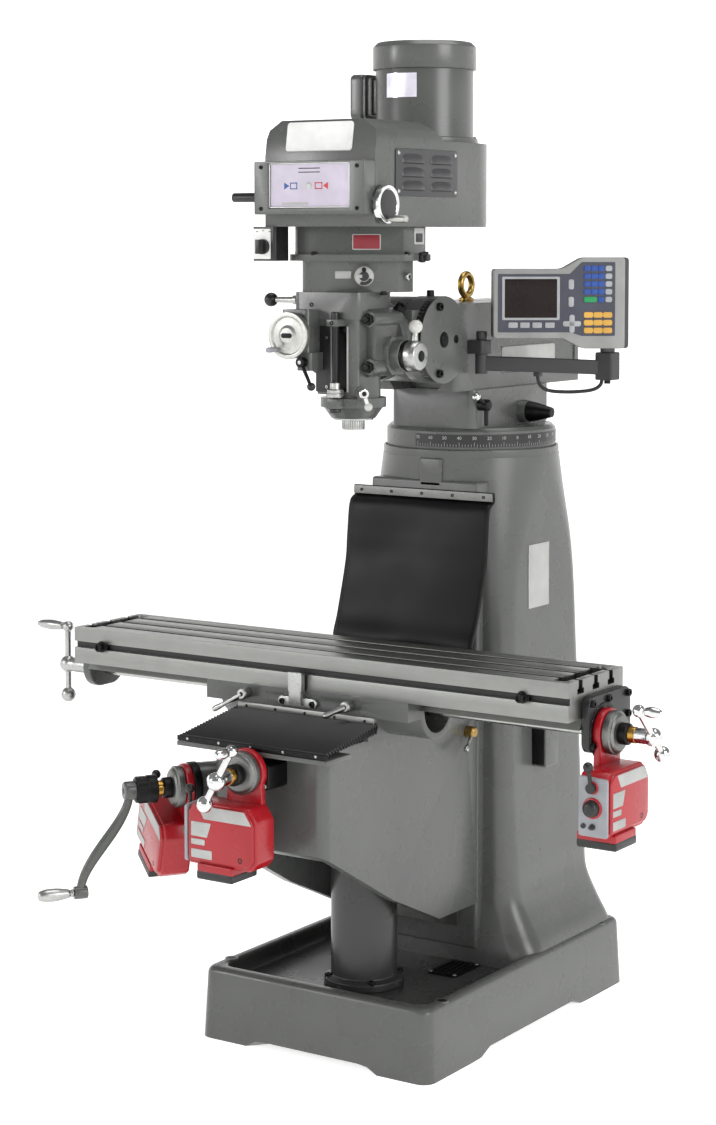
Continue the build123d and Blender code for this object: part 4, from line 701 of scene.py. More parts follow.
def in_plane(surface, plane):
    """A surface given in right, up and out distances, turned into the frame's axes."""
    points, faces = surface
    origin, right, up = np.asarray(plane, float)
    out = np.cross(right, up)
    return origin + points[:, :1] * right + points[:, 1:2] * up + points[:, 2:] * out, faces


def placed(forms, plane):
    """Surfaces with their finishes, all set on a plane."""
    return [(in_plane(form, plane), finish) for form, finish in forms]


red_enamel = machine_enamel("red_gloss_enamel", "#9e0e1b", 0.6)
# Moulded ABS: black, satin, its grain drawn at 4 mm
black_abs = sheathing("moulded_black_abs", "#19191a", 0.36, 4)
# Anodised panel: pale grey, dull
panel_grey = sheathing("anodised_grey_panel", "#8f9196", 0.4, 5, 0.00005)
# Bare plate on the shell: thin brushed aluminium, its grain along the plate
plate_silver = bare_metal("brushed_aluminium_plate", "#a9aaa8", 0.36, (40, 2, 2), 0.05)
feed_lean = np.radians(20)
crank_way = np.array([-np.sin(np.radians(35)), -np.cos(np.radians(35)), 0])
crank_right = np.array([-crank_way[1], crank_way[0], 0])
table_screw_y, table_screw_z = -0.3375, 0.76
x_feed_plane = ((0.668, table_screw_y, table_screw_z), to_rear, upward)
y_feed_plane = ((0, -0.679, 0.66), to_right, upward)
z_feed_plane = (
    np.array([0, lift_y, 0.582]) + crank_way * 0.425,
    crank_right * np.cos(feed_lean) - np.array(upward) * np.sin(feed_lean),
    crank_right * np.sin(feed_lean) + np.array(upward) * np.cos(feed_lean),
)
# The shell's outline seen along the shaft: neck arc, shoulders, sides and the tapered foot
neck_turn = np.radians(np.linspace(-28, 208, 25))
feed_neck = 0.0478 * np.column_stack([np.cos(neck_turn), np.sin(neck_turn)])
feed_neck = np.vstack([feed_neck, [(-0.044, -0.066), (0.044, -0.066)]])
feed_body = eased_ring(
    [
        (-0.104, -0.189), (0.050, -0.189), (0.065, -0.172), (0.065, -0.088), (0.046, -0.061),
        (-0.086, -0.061), (-0.104, -0.076),
    ],
    0.006,
)
feed_cheek = eased_ring(
    [
        (-0.1, -0.18), (0.048, -0.18), (0.06, -0.168), (0.06, -0.09), (0.043, -0.065), (-0.083, -0.065),
        (-0.1, -0.079),
    ],
    0.006,
)
feed_foot = box_ring((-0.079, 0.009), (-0.205, -0.185), 0.004)
feed_cap = box_ring((-0.08, 0.01), (-0.2175, -0.199), 0.005)
side_plane = ((-0.104, 0, 0), upward, to_rear)
panel_ring = eased_ring([(-0.0235, -0.185), (0.0395, -0.185), (0.0395, -0.07), (-0.0235, -0.067)], 0.006)
plate_top = eased_ring([(-0.06, -0.093), (0.058, -0.093), (0.040, -0.067), (-0.075, -0.067)], 0.002)
plate_mid = eased_ring([(-0.092, -0.13), (-0.052, -0.13), (-0.042, -0.1), (-0.092, -0.1)], 0.002)
plate_small = box_ring((-0.092, -0.058), (-0.147, -0.135), 0.002, side=2)
plate_low = box_ring((-0.092, -0.04), (-0.174, -0.156), 0.002, side=2)
face_out = 0.043


def feed_shell():
    """A feed unit's surfaces in its own right, up and out distances, each with its finish."""
    dome = [(0, 0.017), (0.006, 0.017), (0.016, 0.0145), (0.0195, 0.009)]
    knob = turned((-0.112, -0.128, 0.008), to_left, dome, 0.003)
    skirt = turned((-0.112, -0.128, 0.008), to_left, [(0, 0.021), (0.003, 0.0205), (0.004, 0.017)], 0.001)
    toggle = turned(
        (-0.112, -0.165, 0.008), to_left, [(0, 0.006), (0.004, 0.006), (0.0045, 0.0025), (0.0115, 0.0035)]
    )
    fuse = turned(
        (-0.112, -0.165, -0.012), to_left, [(0, 0.005), (0.003, 0.005), (0.0035, 0.003)], 0.0005, 24
    )
    bolt = screw_head(upward, 0.006, 0.004)
    pivot = turned((-0.1125, -0.088, 0.008), to_left, [(0, 0.013), (0.0035, 0.012)], 0.001)
    return [
        (slab(feed_neck, -0.028, -0.0122, edge=0.003), red_enamel),
        (slab(feed_body, -0.028, 0.0355, edge=0.005), red_enamel),
        (slab(feed_cheek, 0.03, face_out - 0.0006, edge=0.004), red_enamel),
        (slab(feed_foot, -0.0445, 0.0415, edge=0.003), red_enamel),
        (slab(feed_cap, -0.045, 0.0425, edge=0.004), black_abs),
        (slab(panel_ring, 0.0, 0.008, side_plane, 0.002), panel_grey),
        (knob, black_abs),
        (skirt, red_enamel),
        (toggle, black_abs),
        (fuse, black_abs),
        (pivot, red_enamel),
        (slab(plate_top, face_out - 0.002, face_out, edge=0.0003, steps=2), label_white),
        (slab(plate_mid, face_out - 0.002, face_out, edge=0.0003, steps=2), plate_silver),
        (slab(plate_small, face_out - 0.002, face_out, edge=0.0003, steps=2), plate_silver),
        (slab(plate_low, face_out - 0.002, face_out, edge=0.0003, steps=2), plate_silver),
        (repeated(bolt, [(0.03, -0.166, face_out - 0.0045)]), black_oxide),
    ]


def feed_unit(name, plane, body, node, extra=()):
    """Sets a feed unit's surfaces on its shaft's plane, with the bracket pieces it alone has."""
    return piece(name, placed([*feed_shell(), *extra], plane), body, "red_paint", node)


bracket_back = box_ring((-0.05, 0.05), (-0.036, 0.016), 0.006)
bracket_screws = [(x, z, -0.028) for x in (-0.04, 0.04) for z in (-0.027, 0.007)]
z_collar = turned((0, 0, -0.045), upward, [(0, 0.05), (0.017, 0.05)], 0.002)
feed_unit("x_power_feed", x_feed_plane, "table", "x_feed_unit")
feed_unit(
    "y_power_feed",
    y_feed_plane,
    "knee",
    "y_feed_unit",
    [
        (slab(bracket_back, -0.094, -0.028, edge=0.002), black_oxide),
        (repeated(screw_head(upward, 0.006, 0.004), bracket_screws), turned_steel),
    ],
)
feed_unit("z_power_feed", z_feed_plane, "knee", "z_feed_unit", [(z_collar, black_oxide)])
for lever in ("x_feed_lever", "y_feed_lever", "z_feed_lever"):
    dress(lever, black_abs, 0.5)

# Hand shafts. Turned steel screws with satin graduated dials, black lock nuts and brass bushes; plated
# ball cranks on the cross and table screws, and a bent cast arm behind a dog clutch on the knee's.


def beads(marks, neck, count=110):
    """A turned profile of balls on a bar: at each place the larger of the bar and the balls' circles.

    marks are (place, ball radius) along the bar; the bar runs from the first ball to the last.
    """
    marks = np.asarray(marks, float)
    along = np.linspace(marks[0, 0] - marks[0, 1], marks[-1, 0] + marks[-1, 1], count)[1:-1]
    round_part = np.sqrt(np.maximum(marks[:, 1:] ** 2 - (along[None] - marks[:, :1]) ** 2, 0)).max(0)
    inside = (along > marks[0, 0]) & (along < marks[-1, 0])
    return np.column_stack([along, np.maximum(round_part, np.where(inside, neck, 1e-4))])


def dial_ticks(radius, low, high, degrees, long_every, plane):
    """Graduations on a drum: a thin raised strip at each angle, every so many of them longer."""
    angle = np.radians(degrees)
    count = len(angle)
    long = np.where(np.arange(count) % long_every == 0, high, low + (high - low) * 0.55)
    half = 0.00035
    side = np.stack([-np.sin(angle), np.cos(angle)], 1) * half
    reach = np.stack([np.cos(angle), np.sin(angle)], 1)
    lower = np.stack([reach * (radius - 0.001) - side, reach * (radius - 0.001) + side], 1)
    upper = np.stack([reach * (radius + 0.00015) - side, reach * (radius + 0.00015) + side], 1)
    foot = np.full((count, 2, 1), low)
    head = np.repeat(long[:, None, None], 2, 1)
    corners = [np.dstack([edge, end]) for edge in (lower, upper) for end in (foot, head)]
    box = np.array(
        [(4, 5, 7, 6), (0, 2, 3, 1)[::-1], (0, 4, 6, 2), (1, 3, 7, 5), (0, 1, 5, 4), (2, 6, 7, 3)]
    )
    faces = (np.arange(count)[:, None, None] * 8 + box).reshape(-1, 4).tolist()
    return in_plane((np.concatenate(corners, 1).reshape(-1, 3), faces), plane)


# Satin chrome: bright, but rough enough to blur what it mirrors
satin_chrome = bare_metal("satin_chrome", "#b2b3b1", 0.33, (5, 5, 5), 0.05)
# Dull plate on the dials, so that their marks can be read
dull_chrome = bare_metal("dull_chrome", "#7f807e", 0.45, (5, 5, 5), 0.05)
# Polished chrome plate on turned steel
polished_chrome = bare_metal("polished_chrome", "#dadbdb", 0.09, (10, 10, 10), 0.02)
# Turned brass bush, oiled
turned_brass = bare_metal("turned_brass", "#b98f45", 0.26, (4, 4, 4))
# Dark filler in engraved lines; the same near-black also paints shade into the louvres' gaps and the
# spindle nose's flutes
dark_fill_and_shade = sheathing("black_fill_and_painted_shade", "#1b1b1b", 0.6, 4)


def spun(profile, ease=0.0008, seg=48):
    """A turned form about the upward axis through zero, to be set in its place later."""
    return turned(zero, upward, profile, ease, seg)


def dial_set(plane, inner, shaft=0.012):
    """Shaft, stepped dial with its graduations, black nut and brass bush, on a shaft's plane."""
    dial = [
        (-0.0118, 0.0405), (-0.0095, 0.0435), (0.0035, 0.0438), (0.0055, 0.0395), (0.0085, 0.0385),
        (0.0118, 0.034),
    ]
    forms = [
        (spun([(inner, shaft), (-0.0118, shaft)]), turned_steel),
        (spun(dial, 0.0009, 72), dull_chrome),
        (spun([(0.0115, 0.0218), (0.028, 0.0218), (0.031, 0.019)], 0.001), black_oxide),
        (spun([(0.03, 0.0165), (0.046, 0.0165)], 0.001), turned_brass),
    ]
    ticks = dial_ticks(0.0435, -0.008, 0.0015, np.arange(0, 360, 4.5), 10, plane)
    return [*placed(forms, plane), (ticks, dark_fill_and_shade)]


def ball_crank(plane, tip, weight, out, grip, hub, finish):
    """A ball crank: a beaded arm across the hub, a shaped grip at its tip and a nut on the end."""
    tip = np.array([*tip, out])
    weight = np.array([*weight, out])
    span = np.linalg.norm(tip - weight)
    middle = np.linalg.norm(weight[:2])
    arm = turned(
        weight, tip - weight, beads([(0, 0.0168), (middle, 0.019), (span, 0.0128)], 0.0068), 0.0001, 32
    )
    handle = [
        (0, 0.0065), (0.011, 0.0065), (0.0125, 0.0048), (0.0145, 0.0085), (grip * 0.55, 0.0118),
        (grip * 0.86, 0.0092),
    ]
    handle = turned(tip, upward, [*handle, (grip, 0.0045)], 0.006, 32)
    boss = spun([(0.045, 0.0158), (hub - 0.005, 0.0158), (hub - 0.003, 0.013)], 0.001)
    nut = spun([(hub - 0.006, 0.0095), (hub, 0.0085)], 0.001, 6)
    return placed([(arm, finish), (handle, finish), (boss, finish), (nut, black_oxide)], plane)


piece(
    "cross_hand_shaft",
    dial_set(y_feed_plane, -0.564)
    + ball_crank(y_feed_plane, (0.04, 0.064), (-0.026, -0.051), 0.083, 0.052, 0.096, polished_chrome),
    "cross_crank",
    "chrome",
    "cross_crank",
)
table_left_plane = ((-0.665, table_screw_y, table_screw_z), to_front, upward)
piece(
    "table_hand_shaft",
    dial_set(x_feed_plane, -1.333)
    + ball_crank(x_feed_plane, (-0.062, 0.062), (0.041, -0.041), 0.081, 0.05, 0.096, polished_chrome)
    + [(in_plane(spun([(0, 0.0168), (0.05, 0.0168)]), table_left_plane), satin_chrome)]
    + ball_crank(table_left_plane, (0, 0.086), (0, -0.071), 0.074, 0.089, 0.09, satin_chrome),
    "table_screw",
    "chrome",
    "table_screw",
)
knee_plane = (z_feed_plane[0], crank_right, upward)
arm_t = np.linspace(0, 1, 40)
arm_out = 0.102 + 0.106 * (3 * arm_t**2 - 2 * arm_t**3)
arm_path = np.column_stack([np.zeros_like(arm_t), -0.004 - 0.201 * arm_t, arm_out])


def swept(path, wide, deep, seg=24):
    """An oval bar along a path in the up-out plane: ovals square to it, their first axis sideways."""
    way = np.gradient(path, axis=0)
    way = way / np.linalg.norm(way, axis=1, keepdims=True)
    side = np.array([1.0, 0, 0])
    up = np.cross(way, side)
    angle = np.linspace(0, 2 * np.pi, seg, endpoint=False)
    wide = np.broadcast_to(wide, len(path))[:, None, None]
    deep = np.broadcast_to(deep, len(path))[:, None, None]
    across = wide * np.cos(angle)[None, :, None] * side
    return solid(path[:, None] + across + deep * np.sin(angle)[None, :, None] * up[:, None])


arm_end = [0, -0.205, 0.208]
clutch_teeth = bolt_circle(np.arange(0, 360, 60), 0.026, zero)
knee_grip = [
    (0.028, 0.007), (0.032, 0.0085), (0.036, 0.0065), (0.04, 0.0095), (0.065, 0.0135), (0.09, 0.0135),
    (0.104, 0.009),
]
clutch = [(0.045, 0.0295), (0.064, 0.0295), (0.066, 0.027), (0.088, 0.027), (0.09, 0.024)]
clutch_tooth = turned((0, 0, 0.064), upward, [(0, 0.0035), (0.022, 0.0035)], 0.001, 16)
grip_foot = np.array(arm_end) - (0, 0, 0.014)
knee_forms = [
    (spun([(-0.401, 0.014), (-0.381, 0.0238), (-0.380, 0.012)]), turned_steel),
    (spun(clutch, 0.001), black_oxide),
    (repeated(clutch_tooth, clutch_teeth), black_oxide),
    (spun([(0.088, 0.0198), (0.111, 0.0198), (0.1145, 0.017)], 0.002), grey_enamel),
    (spun([(0.11, 0.0075), (0.115, 0.0065)], 0.001, 20), black_oxide),
    (swept(arm_path, 0.0088, 0.0088 + 0.003 * np.sin(np.pi * arm_t) ** 2), grey_enamel),
    (turned(grip_foot, upward, [(0, 0.0135), (0.028, 0.0135)], 0.002), grey_enamel),
    (turned(grip_foot, upward, knee_grip, 0.006), satin_chrome),
]
piece(
    "knee_hand_shaft",
    dial_set(z_feed_plane, -0.38) + placed(knee_forms, knee_plane),
    "knee_crank",
    "chrome",
    "knee_crank",
)

# Way covers. Pleated rubber-cloth bellows in front between two screwed strips, and behind the table a
# sheet of 3 mm rubber, clamped to the column under a steel strip and to the knee, that hangs slack.
pleats = 20
pleat_at = np.linspace(0, 1, 2 * pleats + 1)
crest = 0.743 - 0.029 * pleat_at
trough = 0.724 - 0.017 * pleat_at
pleat_line = np.column_stack(
    [-0.448 - 0.195 * pleat_at, np.where(np.arange(2 * pleats + 1) % 2, trough, crest)]
)
pleat_top = eased(pleat_line, 0.0016, 3)
pleat_loop = np.vstack([pleat_top[::-1], pleat_top - (0, 0.004)])
bellows_half = 0.18
bellows_rings = np.stack(
    [
        np.column_stack([np.full(len(pleat_loop), x), pleat_loop])
        for x in np.linspace(-bellows_half, bellows_half, 13)
    ]
)
# Rubber-coated cloth: dull black, its weave drawn at 3 mm
pleat_rubber = sheathing("rubber_coated_cloth", "#161617", 0.46, 3)
bellows = piece("pleated_bellows", [(solid(bellows_rings), pleat_rubber)], None, "rubber", "bellows")
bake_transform(bellows)
front_strip = box_ring((-0.186, 0.186), (0.7005, 0.711), 0.001)
front_screws = [(x, -0.6445, 0.706) for x in np.linspace(-0.16, 0.16, 5)]
front_screw = turned(zero, to_front, [(-0.001, 0.0032), (0.0004, 0.0028)], 0.0002, 16)
piece(
    "bellows_front_strip",
    [
        (slab(front_strip, 0.641, 0.6448, face_front, 0.0005), black_oxide),
        (repeated(front_screw, front_screws), satin_chrome),
    ],
    "knee",
    "aluminium",
)
rear_strip = box_ring((-0.172, 0.172), (0.737, 0.752), 0.001)
rear_screws = [(x, -0.4525, 0.7445) for x in np.linspace(-0.15, 0.15, 5)]
rear_screw = turned(zero, to_front, [(-0.001, 0.0035), (0.001, 0.003)], 0.0003, 16)
piece(
    "bellows_rear_strip",
    [
        (slab(rear_strip, 0.44, 0.4525, face_front, 0.0008), plate_silver),
        (repeated(rear_screw, rear_screws), black_oxide),
    ],
    "saddle",
    "aluminium",
)
# The hanging sheet's line from the strip down to the knee: forward and up
guard_line = np.array(
    [
        (0.0125, 1.175),
        (0.0125, 1.155),
        (-0.010, 1.136),
        (-0.020, 1.070),
        (-0.030, 1.005),
        (-0.065, 0.895),
        (-0.085, 0.841),
        (-0.070, 0.789),
        (-0.041, 0.734),
        (-0.022, 0.7015),
        (-0.008, 0.7005),
    ]
)
guard_half = 0.183
guard_down, guard_across = 90, 31
guard_rows = glide(np.linspace(0, 10, guard_down), np.arange(11), guard_line)
guard_v, guard_u = np.meshgrid(
    np.linspace(0, 1, guard_down), np.linspace(-1, 1, guard_across), indexing="ij"
)
# Slack rubber: shallow ripples across the sheet that grow towards its middle, and edges that curl back
ripple = 0.0035 * np.sin(np.pi * guard_v) * np.sin(4 * guard_u + 9 * guard_v)
swelling = np.exp(-((guard_v - 0.16) ** 2) / 0.01 - (guard_u - 0.6) ** 2 / 0.2)
ripple = ripple + 0.004 * np.sin(np.pi * guard_v) ** 0.5 * swelling
curl = 0.006 * np.sin(np.pi * guard_v) * np.abs(guard_u) ** 6
guard_y = guard_rows[:, :1] + ripple + curl
guard_z = np.repeat(guard_rows[:, 1:], guard_across, 1)
guard_grid = np.stack([guard_u * guard_half, guard_y, guard_z], -1)
guard_row = np.arange(guard_down - 1)[:, None] * guard_across + np.arange(guard_across - 1)
guard_next = guard_row + guard_across
guard_faces = np.stack([guard_next, guard_next + 1, guard_row + 1, guard_row], -1).reshape(-1, 4).tolist()
# Calendered sheet rubber: black, with a dusty bloom that takes off half of its shine
sheet_rubber = sheathing("calendered_sheet_rubber", "#0c0c0d", 0.42, 12, shine=0.22)
guard = piece(
    "rubber_chip_guard",
    [((guard_grid.reshape(-1, 3), guard_faces), sheet_rubber)],
    None,
    "rubber",
    "chip_guard",
)
guard_wall = guard.modifiers.new("sheet_thickness", "SOLIDIFY")
guard_wall.thickness = 0.003
guard_wall.offset = 0
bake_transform(guard)
dress("guard_strip", dull_chrome, 0.4)
strip_screws = [(x, 0.005, 1.165) for x in np.linspace(-0.16, 0.16, 5)]
piece(
    "guard_strip_screws",
    [(repeated(screw_head(to_front, 0.0034, 0.0016), strip_screws), black_oxide)],
    "frame",
    "black_metal",
)

# Saddle, table and their locks. The saddle is an enamelled casting with a steel stop bracket screwed to
# its front; the table is iron, ground bright all over, with T-slots, chip troughs and sliding dogs.
dress("saddle", grey_enamel, 2.0)
# Ground iron: pale, its wheel marks along the table, drawn at 1.5 mm across
ground_iron = bare_metal("ground_table_iron", "#8d8e8b", 0.36, (70, 1.5, 1.5), 0.1, (0.92, 1.05))
dress("table", ground_iron, 0.6)
dress("stop_bracket", satin_chrome, 1.0)
# Near-black film on the walls and floors of the T-slots and on the back of the front groove: painted shade
# in the recesses
painted_slot_shade = sheathing("painted_slot_shade_finish", "#161616", 0.5, 6)
table_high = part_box("table")[1]
slot_walls = []
for slot_y in (-0.401, -0.3375, -0.274):
    for side in (-1, 1):
        neck = sorted((slot_y + side * 0.0082, slot_y + side * 0.0076))
        foot = sorted((slot_y + side * 0.0142, slot_y + side * 0.0136))
        slot_walls.append((neck, (table_high.z - 0.0172, table_high.z - 0.0015)))
        slot_walls.append((foot, (table_high.z - 0.028, table_high.z - 0.017)))
    slot_walls.append(((slot_y - 0.014, slot_y + 0.014), (table_high.z - 0.0282, table_high.z - 0.0274)))
groove_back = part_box("table")[0].y + 0.009
slot_walls.append(
    ((groove_back - 0.0002, groove_back + 0.0002), (table_high.z - 0.0445, table_high.z - 0.0309))
)
piece(
    "painted_slot_shade_film",
    [
        (slab(box_ring(y, z, 0.0001, 1, 2), -0.6215, 0.6215, face_right, 0.0001, 2), painted_slot_shade)
        for y, z in slot_walls
    ],
    "table",
    "black_metal",
)
# Stop dogs: a key in the table's front groove and the round black head of its clamp screw
for dog in ("stop_dog_left", "stop_dog_right"):
    dog_low, dog_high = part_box(dog)
    dog_x = (dog_low.x + dog_high.x) / 2
    dog_z = (dog_low.z + dog_high.z) / 2
    dog_head = [
        (0, 0.0125), (0.0018, 0.0125), (0.002, 0.0098), (0.0135, 0.0098), (0.0148, 0.0085),
        (0.0149, 0.0055), (0.011, 0.0052),
    ]
    key_ring = box_ring((dog_x - 0.015, dog_x + 0.015), (dog_z - 0.0068, dog_z + 0.0068), 0.001)
    piece(
        dog + "_screw",
        [
            (slab(key_ring, -dog_high.y + 0.0002, -dog_low.y - 0.0148, face_front, 0.0006), black_oxide),
            (turned((dog_x, dog_low.y + 0.015, dog_z), to_front, dog_head, 0.0006, 36), black_oxide),
        ],
        dog,
        "black_metal",
        dog,
    )
lock_boss = [(-0.016, 0.006), (0, 0.006), (0.0005, 0.0112), (0.022, 0.0118), (0.0235, 0.009)]
for lock, lock_x, lock_tip in (
    ("table_lock_left", -0.147, (-0.068, -0.024, -0.038)),
    ("table_lock_right", 0.115, (-0.034, -0.040, -0.018)),
):
    lock_at = np.array([lock_x, -0.452, 0.773])
    lock_hub = lock_at + (0, -0.016, 0)
    lock_way = lock_at + lock_tip - lock_hub
    lock_long = np.linalg.norm(lock_way)
    lock_arm = [
        (0, 0.0085),
        (0.012, 0.0072),
        (lock_long * 0.7, 0.0052),
        (lock_long, 0.0068),
        (lock_long + 0.0065, 0.0045),
    ]
    piece(
        lock + "_handle",
        [
            (turned(lock_at, to_front, lock_boss), satin_chrome),
            (turned(lock_at, to_front, [(0.022, 0.0055), (0.024, 0.005)], 0.0004, 6), black_oxide),
            (turned(lock_hub, lock_way, lock_arm, 0.004, 28), satin_chrome),
        ],
        lock,
        "chrome",
        lock,
    )
foot_ring = box_ring((-0.062, 0.036), (0.757, 0.778), 0.0102)
foot_spots = [(-0.051, -0.4605, 0.7675), (0.025, -0.4605, 0.7675)]
foot_washer = turned(zero, to_front, [(-0.002, 0.0085), (0.0008, 0.008)], 0.0003, 28)
piece(
    "stop_bracket_foot",
    [
        (slab(foot_ring, 0.4515, 0.461, face_front, 0.0015), satin_chrome),
        (repeated(foot_washer, foot_spots), polished_chrome),
        (repeated(screw_head(to_front, 0.006, 0.005), foot_spots), black_oxide),
    ],
    "saddle",
    "steel",
)

# Table end brackets. On the left a rounded enamelled cap round the screw's bearing; on the right a black
# plate, bolted through its edge, that carries the power feed and a ring of white graduations.
face_left = (zero, to_front, upward)
left_cap = box_ring((0.2755, 0.3995), (0.724, 0.848), 0.044)
left_bolts = [(-0.645, table_screw_y + y, 0.786 + z) for y in (-0.042, 0.042) for z in (-0.03, 0.045)]
right_plate = box_ring((-0.3995, -0.2215), (0.723, 0.835), 0.022)
right_spots = (
    (-0.386, 0.822), (-0.318, 0.823), (-0.236, 0.822), (-0.236, 0.78), (-0.386, 0.738), (-0.262, 0.734)
)
right_bolts = [(0.640, y, z) for y, z in right_spots]
screw_plane = ((0.640, table_screw_y, table_screw_z), to_rear, upward)
scale_loop = [(-0.001, 0.0498), (-0.001, 0.0585), (0.002, 0.0575), (0.002, 0.0498)]
scale_ring = turned(screw_plane[0], to_right, scale_loop, 0.0005, 72, True)
left_end = (-0.6445, table_screw_y, table_screw_z)
left_boss = [(-0.002, 0.0295), (0.017, 0.0285), (0.0198, 0.026)]
piece(
    "table_end_brackets",
    [
        (slab(left_cap, 0.6228, 0.6445, face_left, 0.004), grey_enamel),
        (turned(left_end, to_left, left_boss, 0.001), grey_enamel),
        (repeated(screw_head(to_left, 0.0065, 0.006), left_bolts), black_oxide),
        (slab(right_plate, 0.6228, 0.6398, face_right, 0.002), black_abs),
        (repeated(screw_head(to_right, 0.0075, 0.007), right_bolts), black_oxide),
        (scale_ring, black_oxide),
        (dial_ticks(0.0576, 0.0005, 0.0022, np.arange(0, 360, 5), 6, screw_plane), label_white),
    ],
    "table",
    "black_metal",
    "end_brackets",
)
# Near-black plates in the black oxide finish, laid in the table's end troughs: painted shade in their depth
trough_low = 0.8608
for name, trough_x in (("left", (-0.608, -0.579)), ("right", (0.579, 0.608))):
    trough_ring = box_ring(trough_x, (-0.4375, -0.2375), 0.0075)
    piece(
        f"painted_trough_shade_{name}",
        [(slab(trough_ring, trough_low - 0.0005, trough_low + 0.0015, edge=0.0005, steps=2), black_oxide)],
        "table",
        "black_metal",
    )

# Turret. An iron ring that turns on the column's top, with a block and dovetail for the ram; a black
# scale with white degrees is riveted round its foot. The ram's lock and pinion come out on the right.
dress("turret", grey_enamel, 3.0)
dress("ram_pinion", black_oxide, 1.0)


def arc_band(radii, heights, degrees, plane):
    """A flat or upright band along an arc: a rectangle of radius and height carried round a centre."""
    angle = np.radians(degrees)
    (r0, r1), (h0, h1) = radii, heights
    section = np.array([(r0, h0), (r0, h1), (r1, h1), (r1, h0)])
    reach = np.stack([np.cos(angle), np.sin(angle)], 1)
    rings = np.concatenate(
        [section[None, :, :1] * reach[:, None], np.repeat(section[None, :, 1:], len(angle), 0)], -1
    )
    return in_plane(solid(rings), plane)


def digits(text, size):
    """Plain numerals as a thin mesh, centred, of a given height."""
    letters = bpy.data.curves.new("numerals", "FONT")
    letters.body = text
    letters.size = size
    letters.align_x = "CENTER"
    letters.align_y = "CENTER"
    letters.extrude = 0.0002
    letters.resolution_u = 2
    holder = bpy.data.objects.new("numerals", letters)
    flat = bpy.data.meshes.new_from_object(holder)
    points = np.empty(len(flat.vertices) * 3)
    flat.vertices.foreach_get("co", points)
    faces = [list(face.vertices) for face in flat.polygons]
    bpy.data.objects.remove(holder)
    bpy.data.meshes.remove(flat)
    bpy.data.curves.remove(letters)
    return points.reshape(-1, 3), faces


def round_drum(surface, radius, degree, height, plane):
    """A flat surface wrapped round a drum: its right becomes arc length and its out becomes radius."""
    points, faces = surface
    angle = np.radians(degree) + points[:, 0] / radius
    reach = radius + points[:, 2]
    wrapped = np.column_stack([reach * np.cos(angle), reach * np.sin(angle), height + points[:, 1]])
    return in_plane((wrapped, faces), plane)


turret_plane = ((0, turret_y, column_heights[-1]), to_right, to_rear)
scale_span = np.arange(-99, 42)
piece(
    "turret_scale",
    [
        (arc_band((0.191, 0.1938), (0.0235, 0.0515), scale_span, turret_plane), black_abs),
        (dial_ticks(0.1938, 0.0245, 0.0345, scale_span[2::2], 5, turret_plane), label_white),
        *(
            (round_drum(digits(str(abs(t)), 0.0105), 0.1939, t - 27, 0.0435, turret_plane), label_white)
            for t in range(-70, 70, 10)
        ),
    ],
    "turret",
    "black_plastic",
)
lock_hub = np.array([0.110, 0.070, 1.363])
lock_bend = lock_hub + (0.018, 0, 0)
lock_rise = np.array([0, -0.043, 0.021])
lock_ball = lock_bend + lock_rise
ram_lock_boss = [(-0.019, 0.008), (0, 0.008), (0.0005, 0.0128), (0.024, 0.0128), (0.0278, 0.009)]
lock_round = beads([(0, 0.0098), (0.0001, 0.0098)], 0.001, 40)
piece(
    "ram_lock_handle",
    [
        (turned(lock_hub, to_right, ram_lock_boss), black_oxide),
        (turned(lock_bend, lock_ball - lock_bend, [(0, 0.0052), (0.04, 0.0045)], 0.001, 24), black_oxide),
        (
            turned(lock_bend, downward, [(0, 0.0052), (0.044, 0.0045), (0.046, 0.003)], 0.001, 24),
            black_oxide,
        ),
        (turned(lock_ball, lock_rise, lock_round, 0.0001, 32), polished_chrome),
    ],
    "ram_lock",
    "chrome",
    "ram_lock_lever",
)

# Ram. A hollow iron box on the turret's dovetail: forked cheeks for the head's joint at its front, a sign
# recess on the side with a bare white plate, a forged lifting eye screwed into its top.
dress("ram", grey_enamel, 3.0)
dress("eyebolt", yellow_zinc, 0.6)
ram_side = 0.105
nod_y, nod_z = -0.072, 1.512
sign = box_ring((0.178, 0.424), (1.431, 1.488), 0.007)
cheek_plane = ((ram_side, nod_y, nod_z), to_rear, upward)
cheek_far_plane = ((-ram_side, nod_y, nod_z), to_front, upward)
cheek_bolts = np.radians(np.array([108, 252]))
cheek_bolts = np.column_stack([np.zeros(2), 0.076 * np.cos(cheek_bolts), 0.076 * np.sin(cheek_bolts)])
pivot_pin = [(-0.002, 0.0135), (0.003, 0.0135), (0.0035, 0.010), (0.0055, 0.0095)]
pivot_ring = [(-0.001, 0.0138), (-0.001, 0.0175), (0.0012, 0.0172), (0.0012, 0.0138)]
piece("ram_sign_plate", [(slab(sign, 0.09, 0.1052, face_right, 0.002), label_white)], "ram", "grey_plastic")
cheek_fittings = []
for side, plane in ((1, cheek_plane), (-1, cheek_far_plane)):
    way = (side, 0, 0)
    centre = np.array([side * ram_side, nod_y, nod_z])
    cheek_fittings += [
        (turned(centre, way, pivot_pin, 0.0008), black_oxide),
        (turned(centre, way, pivot_ring, 0.0004, 48, True), black_oxide),
        (turned(centre + (0, 0.05, 0), way, [(-0.002, 0.0095), (0.0012, 0.009)], 0.0004, 32), black_oxide),
        (repeated(screw_head(way, 0.009, 0.009), centre + cheek_bolts), black_oxide),
    ]
    strip = np.linspace(112, 248, 70) if side > 0 else np.linspace(-68, 68, 70)
    cheek_fittings.append((arc_band((0.0942, 0.0955), (-0.019, -0.0015), strip, plane), black_abs))
    cheek_fittings.append((dial_ticks(0.0955, -0.0165, -0.0045, strip[2::3], 4, plane), label_white))
top_bolt = turned((0.07, nod_y, 1.600), upward, [(0, 0.0085), (0.018, 0.0085), (0.0195, 0.007)], 0.0008, 24)
